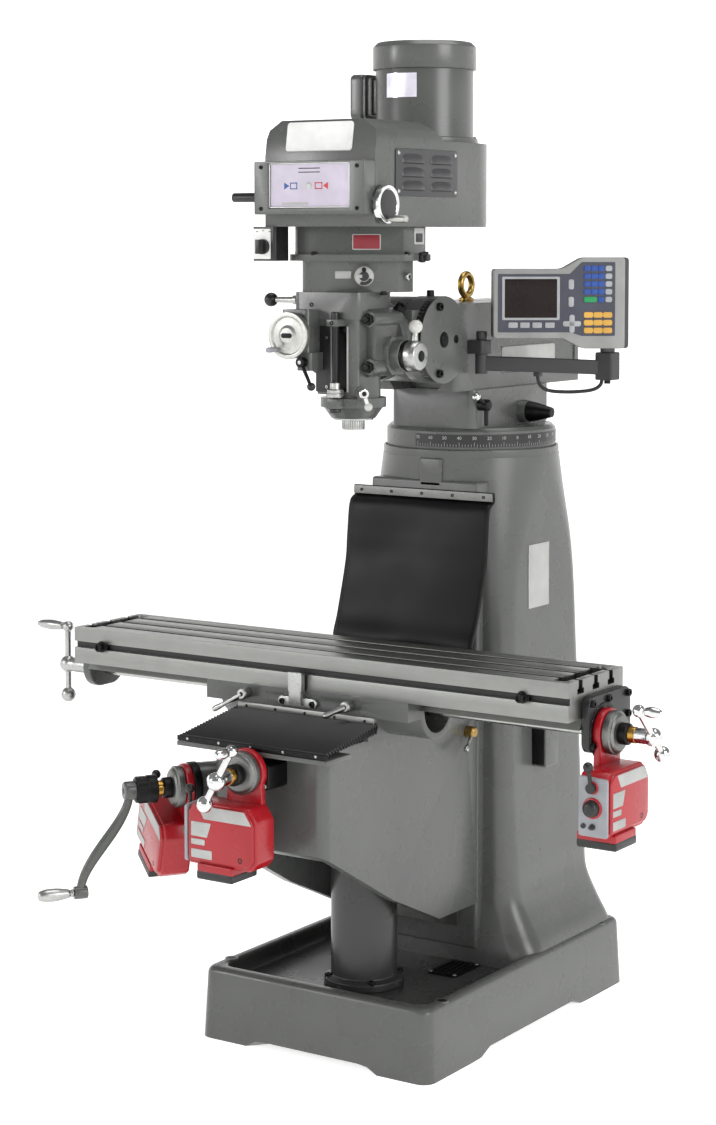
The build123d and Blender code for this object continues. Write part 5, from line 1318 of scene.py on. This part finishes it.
piece("ram_cheek_fittings", [*cheek_fittings, (top_bolt, black_oxide)], "ram", "black_metal")

# Digital readout. A moulded housing with a pale stepped bezel and a dark back, a screen under a slate
# blue membrane panel with moulded keys, on a powder coated arm that swings from a bracket on the ram.
# Powder coat: black, matt, its grain drawn at 3 mm
powder_black = sheathing("black_powder_coat", "#2b2b2d", 0.5, 3)
dress("dro_bracket", powder_black, 1.5)
arm_t = np.linspace(0, 1, 30)[:, None]
arm_from, arm_by, arm_to = np.array([(0.13, 0.045, 1.457), (0.252, 0.098, 1.455), (0.362, 0.197, 1.447)])
arm_line = (1 - arm_t) ** 2 * arm_from + 2 * arm_t * (1 - arm_t) * arm_by + arm_t**2 * arm_to
arm_way = np.gradient(arm_line, axis=0)
arm_side = np.cross(arm_way, upward)
arm_side = arm_side / np.linalg.norm(arm_side, axis=1, keepdims=True)
arm_section = box_ring((-0.0075, 0.0075), (-0.016, 0.016), 0.003, side=1, turn=4)
arm_across = arm_section[None, :, :1] * arm_side[:, None]
arm_rings = arm_line[:, None] + arm_across + arm_section[None, :, 1:] * np.array(upward)
arm_pin = [
    (1.434, 0.014), (1.4778, 0.014), (1.4779, 0.009), (1.508, 0.009), (1.5082, 0.012), (1.526, 0.012),
    (1.528, 0.009),
]
knuckle = box_ring((0.341, 0.383), (0.176, 0.218), 0.005)
clip = box_ring((0.226, 0.242), (0.1052, 0.1212), 0.003)
piece(
    "readout_arm",
    [
        (solid(arm_rings), powder_black),
        (turned((0.13, 0.045, 0), upward, arm_pin), powder_black),
        (slab(knuckle, 1.4205, 1.4815, edge=0.003), powder_black),
        (slab(clip, 1.428, 1.447, edge=0.001), powder_black),
        (turned((0.362, 0.197, 1.412), upward, [(0, 0.007), (0.009, 0.007)], 0.001, 24), black_oxide),
    ],
    "readout_arm",
    "black_metal",
    "dro_arm",
)
readout_turn = np.radians(36)
readout_right = np.array([np.cos(readout_turn), np.sin(readout_turn), 0])
readout_plane = (np.array([0.275, 0.138, 1.49]), readout_right, upward)
readout_shape = np.array(
    [(-150, 23), (2, 23), (46, 0), (151, 0), (151, 200), (46, 200), (2, 175), (-150, 175)]
) / 1000
readout_ring = eased_ring(readout_shape, 0.008)
bezel_ring = eased_ring(
    np.where(readout_shape[:, :1] > 0.1, readout_shape - (0.011, 0), readout_shape), 0.008
)
face_shape = np.array(
    [(-140, 36), (20, 36), (44, 28), (118, 28), (118, 190), (44, 190), (18, 164), (-140, 164)]
) / 1000
face_ring = eased_ring(face_shape, 0.003)
# Moulded ABS of the bezel: pale grey, fine spark-eroded grain
bezel_grey = sheathing("moulded_pale_grey_abs", "#8b8c8a", 0.45, 3)
back_grey = sheathing("moulded_dark_grey_abs", "#3a3b3b", 0.5, 3)
# Polyester membrane over the keys: slate blue, satin
membrane = sheathing("slate_membrane", "#3a3c49", 0.36, 6, 0.0001)
# Smoked cover glass over a dark screen; a coating against glare leaves about half of the shine
smoked_glass = sheathing("smoked_cover_glass", "#1a0f0d", 0.2, 20, 0.00002, 0.22)
key_white = sheathing("white_silicone_key", "#9c9da0", 0.42, 4, 0.0001)
key_blue = sheathing("blue_silicone_key", "#1b4590", 0.42, 4, 0.0001)
key_green = sheathing("green_silicone_key", "#108a4c", 0.42, 4, 0.0001)
key_yellow = sheathing("yellow_silicone_key", "#c99a40", 0.42, 4, 0.0001)
panel_out = 0.0252


def key(right, up, finish, radius=2.5):
    """A moulded key: a rounded pad, crowned at its rim, on the membrane; sizes in millimetres."""
    ring = box_ring(np.array(right) / 1000, np.array(up) / 1000, radius / 1000, side=2, turn=5)
    return slab(ring, panel_out - 0.001, panel_out + 0.0022, edge=0.001), finish


keys = [key((a, a + 21), (46, 58), key_white) for a in (-117, -91, -64, -36)]
keys += [key((15, 27), (z, z + 22), key_white, 4) for z in (130, 92)]
keys += [key((3, 43), (49, 61), key_white, 5), key((17, 29), (35, 75), key_white, 5)]
number_rows = (170, 153, 136, 119, 102)
keys += [key((a, a + 14.5), (z, z + 12), key_blue) for z in number_rows[:4] for a in (49, 64.5, 80)]
keys += [key((96, 111), (z, z + 12), key_white, 4) for z in number_rows]
keys += [key((49, 78), (102, 114), key_green, 4), key((80, 94), (102, 114), key_blue)]
keys += [key((a, a + 20.5), (z, z + 12.5), key_yellow, 4) for z in (68, 51, 34) for a in (49, 70, 91)]
display_post = [(0, 0.0078), (0.025, 0.0078), (0.0252, 0.016), (0.036, 0.016)]
readout_forms = [
    (slab(readout_ring, -0.0275, 0.0085, edge=0.004), back_grey),
    (slab(grown(bezel_ring, -0.0002), 0.008, 0.0248, edge=0.003), bezel_grey),
    (slab(face_ring, 0.02, panel_out, edge=0.0003, steps=2), membrane),
    (
        slab(box_ring((-0.131, -0.004), (0.063, 0.158), 0.003), 0.02, panel_out + 0.002, edge=0.001),
        key_white,
    ),
    (
        slab(box_ring((-0.125, -0.010), (0.068, 0.153), 0.002), 0.02, panel_out + 0.0023, edge=0.0005),
        smoked_glass,
    ),
    *keys,
]
piece(
    "readout_display",
    placed(readout_forms, readout_plane)
    + [(turned((0.362, 0.197, 1.457), upward, display_post, 0.0006), back_grey)],
    "readout",
    "grey_plastic",
    "dro_housing",
)

# Head casting. A grey iron barrel round the quill with a box in front, a swivel flange bolted behind
# to the ram's adapter, a feed-drive block on its left and an eight-sided boss for the quill's pinion.
dress("ram_adapter", grey_enamel, 2.5)
dress("quill_head", grey_enamel, 2.2)
# Ground and hardened steel of the quill
dress("quill", turned_steel, 0.6)
dress("spindle", turned_steel, 0.8)
spindle_y = -0.269
spindle_plane = ((0, spindle_y, 0), to_right, to_rear)
# Dark strips round the spindle's nose stand for its flutes: painted shade in the grooves.
piece(
    "spindle_nose_flute_shade",
    [(dial_ticks(0.024, 1.3285, 1.3455, np.arange(0, 360, 12), 1, spindle_plane), dark_fill_and_shade)],
    "spindle",
    "steel",
)
flange_bolt = screw_head((0.7, 0, 0.7), 0.0115, 0.024)
stud_nut = turned(zero, to_front, [(0, 0.0125), (0.0075, 0.0125), (0.009, 0.011)], 0.0006, 6)
stud_end = turned(zero, to_front, [(0, 0.0068), (0.0165, 0.0068)], 0.0008, 24)
stud_places = [(x, -0.3085, z) for x in (-0.066, 0.066) for z in (1.462, 1.562)]
# A near-black plate fills the slot between the rails: painted shade in the slot's depth.
slot_shade_plate = box_ring((-0.0108, 0.0268), (1.4095, 1.5478), 0.001)
left_panel = box_ring((-0.0522, -0.0142), (1.408, 1.5475), 0.003)
right_rail = box_ring((0.0262, 0.0298), (1.409, 1.5475), 0.0008)
left_rail = box_ring((-0.0138, -0.0102), (1.409, 1.5475), 0.0008)
slot_top = box_ring((-0.0105, 0.0265), (1.5335, 1.5478), 0.001)
panel_screws = [(-0.024, -0.334, z) for z in (1.419, 1.523)]
front_plugs = [(0.008, -0.363, 1.555), (-0.06, -0.338, 1.592)]
case_studs = [(-0.04, -0.326, 1.618), (0.072, -0.262, 1.618)]
piece(
    "head_fittings",
    [
        (slab(left_panel, 0.33, 0.3342, face_front, 0.0008), black_abs),
        (slab(slot_shade_plate, 0.3215, 0.3226, face_front, 0.0002), black_oxide),
        (slab(slot_top, 0.3215, 0.3325, face_front, 0.001), black_oxide),
        (slab(left_rail, 0.325, 0.3346, face_front, 0.0008), label_white),
        (slab(right_rail, 0.325, 0.3346, face_front, 0.0008), label_white),
        (repeated(screw_head(to_front, 0.0032, 0.0016), panel_screws), satin_chrome),
        (repeated(stud_nut, stud_places), black_oxide),
        (repeated(stud_end, stud_places), black_oxide),
        (repeated(flange_bolt, [(0.061, -0.198, 1.573)]), black_oxide),
        (repeated(screw_head(to_front, 0.0048, 0.0012), front_plugs), black_oxide),
        (repeated(screw_head(downward, 0.0075, 0.006), case_studs), black_oxide),
    ],
    "head",
    "black_metal",
)

# Depth stop. A black threaded rod held in two lugs in front of the slot, with a bright knurled nut that
# is run along it by hand to set how far the quill comes down.
stop_x, stop_y = 0.008, -0.350
thread = np.arange(1.396, 1.546, 0.00125)
thread = np.column_stack([thread, 0.0079 - 0.0009 * (np.arange(len(thread)) % 2)])
stop_line = np.vstack(
    [[(1.366, 0.0125), (1.3738, 0.0125), (1.374, 0.0078)], thread, [(1.577, 0.0078), (1.578, 0.0065)]]
)
piece(
    "stop_screw",
    [(turned((stop_x, stop_y, 0), upward, stop_line, 0.0004, 28), black_abs)],
    "head",
    "black_metal",
    "depth_stop_screw",
)
nut_low = 1.398
nut_line = [
    (0, 0.0081), (0, 0.0155), (0.002, 0.0169), (0.008, 0.0169), (0.009, 0.0155), (0.010, 0.0169),
    (0.016, 0.0169), (0.018, 0.0155), (0.0182, 0.0109), (0.0305, 0.0109), (0.032, 0.0098), (0.032, 0.0081),
]
nut_plane = ((stop_x, stop_y, nut_low), to_right, to_rear)
piece(
    "stop_nut_ring",
    [
        (turned((stop_x, stop_y, nut_low), upward, nut_line, 0.0005, 48, True), satin_chrome),
        (dial_ticks(0.0169, 0.0025, 0.0155, np.arange(0, 360, 9), 1, nut_plane), turned_steel),
    ],
    "stop_nut",
    "chrome",
    "stop_nut",
)

# Head controls. Chromed hubs and levers with moulded balls, a polished aluminium fine-feed wheel and a
# pull knob; each sits on a pin in the head and is turned or pulled by hand.
# Moulded thermoset ball: warm white, glossy
white_ball = sheathing("white_moulded_ball", "#c2c2be", 0.22, 12, 0.00003)
# Cast aluminium, polished: pale and soft in its shine
polished_aluminium = bare_metal("polished_aluminium", "#b9b9b5", 0.4, (6, 6, 6), 0.05)


def ball(centre, radius, axis=upward):
    """A turned ball: the circle carried round an axis."""
    return turned(centre, axis, beads([(0, radius), (1e-5, radius)], 1e-4, 40), 0.0001, 36)


feed_at = np.array([0.052, -0.232, 1.484])
feed_ball = np.array([0.133, -0.232, 1.546])
feed_stem = np.array([0.129, -0.232, 1.505])
feed_drum = [(0.066, 0.028), (0.068, 0.033), (0.084, 0.0336), (0.094, 0.029), (0.0955, 0.012)]
feed_nut = [(0.09, 0.0125), (0.0962, 0.012), (0.0963, 0.0085), (0.098, 0.008)]
piece(
    "quill_feed_hub",
    [
        (turned(feed_at, to_right, [(0, 0.012), (0.037, 0.012)]), turned_steel),
        (
            turned(feed_at, to_right, [(0.036, 0.0338), (0.056, 0.0338), (0.058, 0.031)], 0.001, 64),
            grey_enamel,
        ),
        (
            turned(feed_at, to_right, [(0.0575, 0.0325), (0.066, 0.0325), (0.069, 0.0285)], 0.002, 64),
            black_oxide,
        ),
        (turned(feed_at, to_right, feed_drum, 0.003, 64), satin_chrome),
        (turned(feed_at, to_right, feed_nut, 0.0005), black_oxide),
        (turned(feed_stem, feed_ball - feed_stem, [(0, 0.0092), (0.03, 0.0062)], 0.001, 28), satin_chrome),
        (ball(feed_ball, 0.0148), white_ball),
    ],
    "quill_feed_lever",
    "chrome",
    "quill_feed_lever",
)
wheel_plane = ((-0.078, -0.34, 1.528), to_right, upward)
wheel_line = [
    (0.0, 0.008), (0.038, 0.008), (0.0382, 0.0148), (0.05, 0.0148), (0.0502, 0.041), (0.0482, 0.043),
    (0.0482, 0.0498), (0.0618, 0.0498), (0.062, 0.0405), (0.0585, 0.0385), (0.0605, 0.022), (0.0645, 0.016),
    (0.0645, 0.002),
]
wheel_grip = [
    (0.0, 0.0045), (0.004, 0.0045), (0.0045, 0.0056), (0.02, 0.006), (0.032, 0.0056), (0.034, 0.0042)
]
wheel_nut = box_ring((-0.0135, 0.0135), (-0.0052, 0.0052), 0.0051)
wheel_forms = [
    (spun(wheel_line, 0.0014, 72), polished_aluminium),
    (slab(wheel_nut, 0.06, 0.066, edge=0.0008), black_oxide),
    (turned((-0.03, -0.03, 0.058), upward, wheel_grip, 0.001, 32), panel_grey),
]
piece(
    "fine_feed_handwheel",
    placed(wheel_forms, wheel_plane),
    "fine_feed_wheel",
    "aluminium",
    "fine_feed_wheel",
)
trip_hub = np.array([-0.053, -0.378, 1.472])
trip_ball = trip_hub + (0.029, -0.014, -0.05)
trip_root = trip_hub + (0, -0.01, 0)
trip_boss = [(-0.022, 0.006), (0, 0.006), (0.0002, 0.0108), (0.0148, 0.0108), (0.016, 0.009)]
piece(
    "feed_trip_handle",
    [
        (turned(trip_hub, to_front, trip_boss), black_oxide),
        (turned(trip_hub, to_front, [(0.015, 0.0045), (0.0162, 0.0042)], 0.0004, 24), satin_chrome),
        (turned(trip_root, trip_ball - trip_root, [(0, 0.0042), (0.05, 0.0036)], 0.0008, 20), black_oxide),
        (ball(trip_ball, 0.0089), black_abs),
    ],
    "feed_trip_lever",
    "black_plastic",
    "feed_trip_lever",
)
pull_at = np.array([-0.072, -0.3, 1.6])
pull_stem = [(0, 0.007), (0.048, 0.007), (0.0482, 0.01), (0.06, 0.01), (0.0602, 0.007), (0.106, 0.0062)]
piece(
    "feed_pull_knob",
    [
        (turned(pull_at, to_left, pull_stem), satin_chrome),
        (ball(pull_at - (0.12, 0, 0), 0.0152, to_right), black_abs),
    ],
    "feed_engage_knob",
    "black_plastic",
    "feed_engage_knob",
)
lock_turn = np.radians(-44)
lock_way = np.array([np.cos(lock_turn), np.sin(lock_turn), 0])
lock_at = np.array([0, spindle_y, 1.408]) + 0.088 * lock_way
lock_from = lock_at + 0.014 * lock_way
lock_end = lock_from + 0.01 * np.array([-lock_way[1], lock_way[0], 0]) - (0, 0, 0.028)
quill_lock_boss = [
    (-0.016, 0.006), (0, 0.006), (0.0002, 0.0098), (0.004, 0.0109), (0.017, 0.0109), (0.0192, 0.009)
]
piece(
    "quill_lock_handle",
    [
        (turned(lock_at, lock_way, quill_lock_boss), polished_chrome),
        (turned(lock_at, lock_way, [(0.018, 0.0055), (0.0199, 0.005)], 0.0004, 24), black_oxide),
        (
            turned(lock_from, lock_end - lock_from, [(0, 0.005), (0.024, 0.0038)], 0.0008, 24),
            polished_chrome,
        ),
        (ball(lock_end, 0.0088), white_ball),
    ],
    "quill_lock_lever",
    "chrome",
    "quill_lock_lever",
)

# Gear case. A two-step iron casting with a flat on its right front, bolted to the head; a range dial,
# a blank red plate and blank white plates sit on its faces.
dress("gear_case", grey_enamel, 3.0)
# Printed red of the blank plate: deep and flat
plate_red = sheathing("deep_red_print", "#7d1524", 0.4, 6, 0.00005)
flat_right = np.array([130, 86, 0]) / np.hypot(130, 86)
dial_at = np.array([0.0402, -0.28856, 1.652])
dial_plane = (dial_at, flat_right, upward)
drum_plane = (np.array([-0.03, -0.339, 1.684]), np.array([146, 86, 0]) / np.hypot(146, 86), upward)
case_plate = box_ring((-0.061, -0.027), (-0.005, 0.0105), 0.0015)
red_plate = box_ring((0.0615, 0.1215), (0.0235, 0.0565), 0.003)
red_inner = box_ring((0.0635, 0.1195), (0.0255, 0.0545), 0.002)
drum_plate = box_ring((-0.212, -0.174), (1.7185, 1.7535), 0.003)
rim_spots = [
    (-0.105, -0.325, 1.698), (-0.05, -0.3435, 1.698), (0.119, -0.2435, 1.698), (0.1195, -0.17, 1.698),
    (-0.12, -0.17, 1.698),
]
piece(
    "case_plates",
    [
        (in_plane(slab(case_plate, -0.001, 0.0012, edge=0.0004, steps=3), dial_plane), label_white),
        (in_plane(slab(red_plate, -0.001, 0.0008, edge=0.0003, steps=3), drum_plane), label_white),
        (in_plane(slab(red_inner, -0.001, 0.0011, edge=0.0002, steps=3), drum_plane), plate_red),
        (slab(drum_plate, 0.11, 0.1172, face_right, 0.0004), label_white),
        (
            slab(box_ring((-0.207, -0.18), (1.7235, 1.742), 0.002), 0.11, 0.1175, face_right, 0.0002),
            black_abs,
        ),
    ],
    "head",
    "grey_plastic",
)
cup_at = (0.12, -0.196, 1.691)
cup_line = [(0, 0.011), (0.012, 0.011), (0.0125, 0.008), (0.022, 0.008)]
plug_at = (0.099, -0.222, 1.651)
plug_line = [(0, 0.0085), (0.011, 0.0085), (0.0125, 0.007)]
piece(
    "case_bolts",
    [
        (repeated(screw_head(upward, 0.0058, 0.0055), rim_spots), black_oxide),
        (turned(cup_at, to_right, cup_line, 0.001, 8), black_abs),
        (turned(plug_at, to_right, plug_line, 0.0008, 32), turned_steel),
        (turned(plug_at, to_right, [(0.011, 0.0045), (0.0128, 0.0042)], 0.0003, 6), black_oxide),
    ],
    "head",
    "black_metal",
)
dial_mark = box_ring((-0.0185, -0.004), (-0.0035, 0.0035), 0.001)
dial_drum = [(-0.016, 0.006), (0.003, 0.006), (0.0032, 0.0205), (0.011, 0.0205), (0.0125, 0.019)]
dial_hub = [(0.012, 0.0105), (0.0137, 0.010), (0.0138, 0.0085), (0.0139, 0.001)]
dial_band = ((0.0115, 0.0188), (0.012, 0.0129))
dial_forms = [
    (spun(dial_drum, 0.0006, 56), label_white),
    (arc_band(*dial_band, np.linspace(-120, -20, 40), flat_plane), black_abs),
    (arc_band(*dial_band, np.linspace(40, 150, 30), flat_plane), label_white),
    (spun(dial_hub, 0.0003, 40), black_abs),
    (slab(dial_mark, 0.012, 0.0139, edge=0.0003), label_white),
    (
        turned((0, 0.014, 0), upward, [(0.008, 0.0048), (0.0285, 0.0048), (0.03, 0.0035)], 0.0008, 24),
        black_oxide,
    ),
]
piece(
    "range_dial",
    placed(dial_forms, dial_plane),
    "range_lever",
    "chrome",
    "range_lever",
)

# Belt housing. A hollow casting with a raised hood and a round rear, bolted on the gear case; its hood
# carries a bare white plate and its front a sheet cover with a speed plate in a recess.
dress("belt_housing", grey_enamel, 5.0)
dress("speed_cover", grey_enamel, 2.5)
hood_up = np.array([0, 12, 75]) / np.hypot(12, 75)
hood_plane = (np.array([0, -0.396, 1.902]), to_right, hood_up)
# Stoved white enamel on a pressed plate
plate_white = sheathing("stoved_white_enamel", "#e2e2e0", 0.34, 8, 0.00005)
hood_plate = box_ring((-0.085, 0.08), (0.009, 0.071), 0.007)
piece(
    "hood_plate",
    [(in_plane(slab(hood_plate, -0.002, 0.0042, edge=0.0022, steps=6), hood_plane), plate_white)],
    "head",
    "grey_plastic",
)
# Printed speed plate: pale lilac satin film on aluminium
lilac_film = sheathing("lilac_printed_film", "#beb6c6", 0.4, 8, 0.00005)
blue_ink = sheathing("blue_screen_ink", "#24508f", 0.45, 5, 0.00005)
red_ink = sheathing("red_screen_ink", "#c21f2b", 0.45, 5, 0.00005)
cover_out = 0.430


def ink(ring, finish):
    """A printed shape: its outline laid a tenth of a millimetre proud of the speed plate."""
    return slab(np.asarray(ring, float), cover_out, cover_out + 0.0017, face_front, 0.00005, 2), finish


def hollow_square(x, z, line):
    """Four bars that make a square outline, as printed rings."""
    (x0, x1), (z0, z1) = x, z
    bars = [
        ((x0, x1), (z0, z0 + line)),
        ((x0, x1), (z1 - line, z1)),
        ((x0, x0 + line), (z0, z1)),
        ((x1 - line, x1), (z0, z1)),
    ]
    return [box_ring(a, b, 0.0001, 1, 2) for a, b in bars]


mark_z = 1.8395
mark_span = (mark_z - 0.007, mark_z + 0.007)
speed_ring = box_ring((-0.0985, 0.0985), (1.7965, 1.8845), 0.002)
speed_frame = [((-0.1008, 0.1008), (1.7942, 1.7965)), ((-0.1008, 0.1008), (1.8845, 1.8868))]
speed_frame += [((-0.1008, -0.0985), (1.7942, 1.8868)), ((0.0985, 0.1008), (1.7942, 1.8868))]
speed_bars = [box_ring(x, z, 0.0005) for x, z in speed_frame]
plate_button = [(0, 0.0072), (0.0028, 0.0068), (0.0042, 0.004)]
cover_screws = [(x, -0.4358, z) for x in (-0.12, 0.12) for z in (1.793, 1.879)]
piece(
    "speed_plate",
    [
        (slab(speed_ring, cover_out - 0.001, cover_out + 0.0015, face_front, 0.0003), lilac_film),
        *(
            (slab(bar, cover_out - 0.001, cover_out + 0.004, face_front, 0.0004), plate_silver)
            for bar in speed_bars
        ),
        ink([(-0.064, mark_z - 0.0075), (-0.051, mark_z), (-0.064, mark_z + 0.0075)], blue_ink),
        *(ink(ring, blue_ink) for ring in hollow_square((-0.049, -0.031), mark_span, 0.0022)),
        *(ink(ring, red_ink) for ring in hollow_square((0.013, 0.032), mark_span, 0.0022)),
        ink([(0.0335, mark_z), (0.046, mark_z - 0.0075), (0.046, mark_z + 0.0075)], red_ink),
        (turned((-0.0015, -cover_out, mark_z), to_front, plate_button, 0.001, 32), white_ball),
        ink(box_ring((-0.07, -0.003), (1.8005, 1.8055), 0.001), label_white),
        ink(box_ring((-0.028, 0.026), (1.8745, 1.8765), 0.0005), dark_fill_and_shade),
        ink(box_ring((-0.028, 0.026), (1.8665, 1.8685), 0.0005), dark_fill_and_shade),
        (repeated(screw_head(to_front, 0.0042, 0.0024), cover_screws), black_oxide),
    ],
    "head",
    "grey_plastic",
)

# Louvred panel. Pressed steel sheet, sprayed dark, over the vent on the housing's right side: two
# columns of three louvres open below, held by four round-head screws.
# Satin lacquer on sheet steel: near black, its grain drawn at 4 mm
vent_lacquer = sheathing("dark_satin_lacquer", "#38383a", 0.4, 4, 0.0001)
vent_ring = box_ring((-0.3218, -0.0762), (1.8192, 1.9178), 0.007)
vent_x = 0.138
louvre_u = np.linspace(-1, 1, 37)
louvre_v = np.linspace(0, 1, 12)
louvre_half, louvre_tall, louvre_out = 0.044, 0.019, 0.0056


def louvre(y, low):
    """A pressed louvre: a quarter-round hood over an ellipse, open below.

    Half width w and height h: out = depth * sqrt(1 - (y/w)^4) * cos(quarter turn of z/h).
    """
    swell = np.sqrt(np.clip(1 - louvre_u**4, 0, 1))
    high = louvre_v[:, None] * louvre_tall * (0.35 + 0.65 * swell)[None]
    out = louvre_out * swell[None] * np.cos(np.pi / 2 * louvre_v)[:, None]
    grid = np.stack(
        [vent_x + 0.0029 + out, np.broadcast_to(y + louvre_half * louvre_u, out.shape), low + high], -1
    )
    rows, n = len(louvre_v) + 1, len(louvre_u)
    lip = np.stack([np.full(n, vent_x + 0.0005), grid[0, :, 1], grid[0, :, 2]], -1)
    points = np.vstack([lip, grid.reshape(-1, 3)])
    i = (np.arange(rows - 1)[:, None] * n + np.arange(n - 1)).reshape(-1)
    return points, np.stack([i, i + 1, i + n + 1, i + n], -1).tolist()


louvre_spots = [(y, low) for y in (-0.2555, -0.1425) for low in (1.8325, 1.8605, 1.8885)]
# A near-black strip under each louvre fills its open gap: painted shade.
louvre_gap_shades = [
    box_ring((y - 0.0405, y + 0.0405), (low - 0.0022, low + 0.0012), 0.001) for y, low in louvre_spots
]
vent_screw = turned(zero, to_right, [(-0.001, 0.0048), (0.0012, 0.0046), (0.0028, 0.0025)], 0.0008, 24)
vent_screws = [(vent_x + 0.003, y, z) for y in (-0.3115, -0.0865) for z in (1.829, 1.908)]
piece(
    "vent_louvres",
    [
        (slab(vent_ring, vent_x, vent_x + 0.003, face_right, 0.0008), vent_lacquer),
        *((louvre(*spot), vent_lacquer) for spot in louvre_spots),
        *((slab(gap, vent_x, vent_x + 0.0033, face_right, 0.0003), dark_fill_and_shade) for gap in louvre_gap_shades),
        (repeated(vent_screw, vent_screws), satin_chrome),
    ],
    "head",
    "black_metal",
    "vent_panel",
)

# Housing controls. A chromed speed wheel with a black plate on the right, a brake lever in a fork on the
# left, and a drum switch in a moulded box under the cover.
speed_line = [
    (0.0, 0.008), (0.026, 0.008), (0.0262, 0.016), (0.035, 0.016), (0.0372, 0.03), (0.0325, 0.033),
    (0.0325, 0.0398), (0.0455, 0.0398), (0.046, 0.0385), (0.046, 0.0325), (0.0445, 0.031), (0.0445, 0.002),
]
speed_at = np.array([0.112, -0.374, 1.801])
speed_knob = [
    (0.044, 0.0045), (0.05, 0.0045), (0.0505, 0.0068), (0.062, 0.0079), (0.082, 0.0079), (0.0885, 0.007),
    (0.089, 0.004),
]
piece(
    "speed_wheel",
    [
        (turned(speed_at, to_right, speed_line, 0.0009, 72), polished_chrome),
        (turned(speed_at, to_right, [(0.0444, 0.0305), (0.0453, 0.030)], 0.0003, 64), black_abs),
        (turned(speed_at - (0, 0, 0.03), to_right, speed_knob, 0.001, 32), polished_aluminium),
    ],
    "speed_handwheel",
    "chrome",
    "speed_handwheel",
)
dress("brake_lever", black_abs, 1.5)
dress("switch_box", black_abs, 2.0)
dress("switch_knob", black_abs, 1.5)
switch_plate = box_ring((-0.1645, -0.1215), (1.688, 1.7515), 0.002)
switch_spots = ((-0.1555, 1.7455), (-0.1395, 1.7475), (-0.1235, 1.7455))
switch_ticks = [
    box_ring((x - 0.0025, x + 0.0025), (z - 0.0008, z + 0.0008), 0.0003) for x, z in switch_spots
]
piece(
    "switch_plate",
    [
        (slab(switch_plate, 0.399, 0.4012, face_front, 0.0004), plate_white),
        *((slab(tick, 0.4, 0.4014, face_front, 0.0001), dark_fill_and_shade) for tick in switch_ticks),
    ],
    "head",
    "grey_plastic",
)

# Motor. A flanged motor stood on the housing, its shell and cast end painted grey, under a spun fan
# cowl with holes; a terminal box with a gasketed lid is bolted to its left side.
dress("motor", grey_enamel, 2.0)
dress("fan_cowl", grey_enamel, 1.5)
motor_y = 0.014
motor_plane = ((0, motor_y, 0), to_right, to_rear)
# Bright foil plate: mirror-like, faintly violet
foil = bare_metal("bright_foil_plate", "#c9c6d2", 0.16, (30, 30, 30), 0.04)
flange_bolts = bolt_circle((-120, -45, 45, 135), 0.112, (0, motor_y, 1.9495))
flange_nut = spun([(0, 0.0055), (0.005, 0.0055), (0.006, 0.0045)], 0.0005, 6)
piece(
    "motor_fittings",
    [
        (arc_band((0.106, 0.1087), (2.037, 2.089), np.linspace(-107, -67, 30), motor_plane), foil),
        (repeated(flange_nut, flange_bolts), black_oxide),
    ],
    "head",
    "aluminium",
)
lid_ring = box_ring((-0.064, 0.036), (1.995, 2.095), 0.012)
piece(
    "terminal_lid",
    [
        (slab(lid_ring, 0.1315, 0.167, face_left, 0.008, 6), grey_enamel),
        (slab(grown(lid_ring, -0.0025), 0.129, 0.132, face_left, 0.0003), black_abs),
        (slab(grown(lid_ring, -0.001), 0.1245, 0.1295, face_left, 0.001), grey_enamel),
        (slab(grown(lid_ring, -0.008), 0.112, 0.125, face_left, 0.002), grey_enamel),
    ],
    "head",
    "grey_paint",
    "terminal_box",
)

# Drive inside the housing. Two V pulleys of cast aluminium, on the spindle and the motor's shaft, and a
# wide rubber belt between them; the housing hides them.
dress("spindle_pulley", polished_aluminium, 1.0)
dress("motor_pulley", polished_aluminium, 1.0)
belt_steps = 40
belt_turn = np.linspace(0, np.pi, belt_steps)
belt_near = np.column_stack([np.cos(belt_turn), -np.sin(belt_turn)])
belt_centre = np.repeat([(0, spindle_y), (0, motor_y)], belt_steps, 0)
belt_out = np.vstack([belt_near, -belt_near])
belt_section = np.array([(0.0562, 1.815), (0.0678, 1.8122), (0.0678, 1.8478), (0.0562, 1.845)])
belt_plan = belt_centre[:, None] + belt_section[None, :, :1] * belt_out[:, None]
belt_rings = np.concatenate([belt_plan, np.repeat(belt_section[None, :, 1:], 2 * belt_steps, 0)], -1)
# Corded rubber of the belt: black, dull, its grain drawn at 3 mm
belt_rubber = sheathing("corded_belt_rubber", "#1c1c1d", 0.6, 3)
piece("wide_belt", [(solid(belt_rings, wrap=True), belt_rubber)], "head", "rubber", "drive_belt")
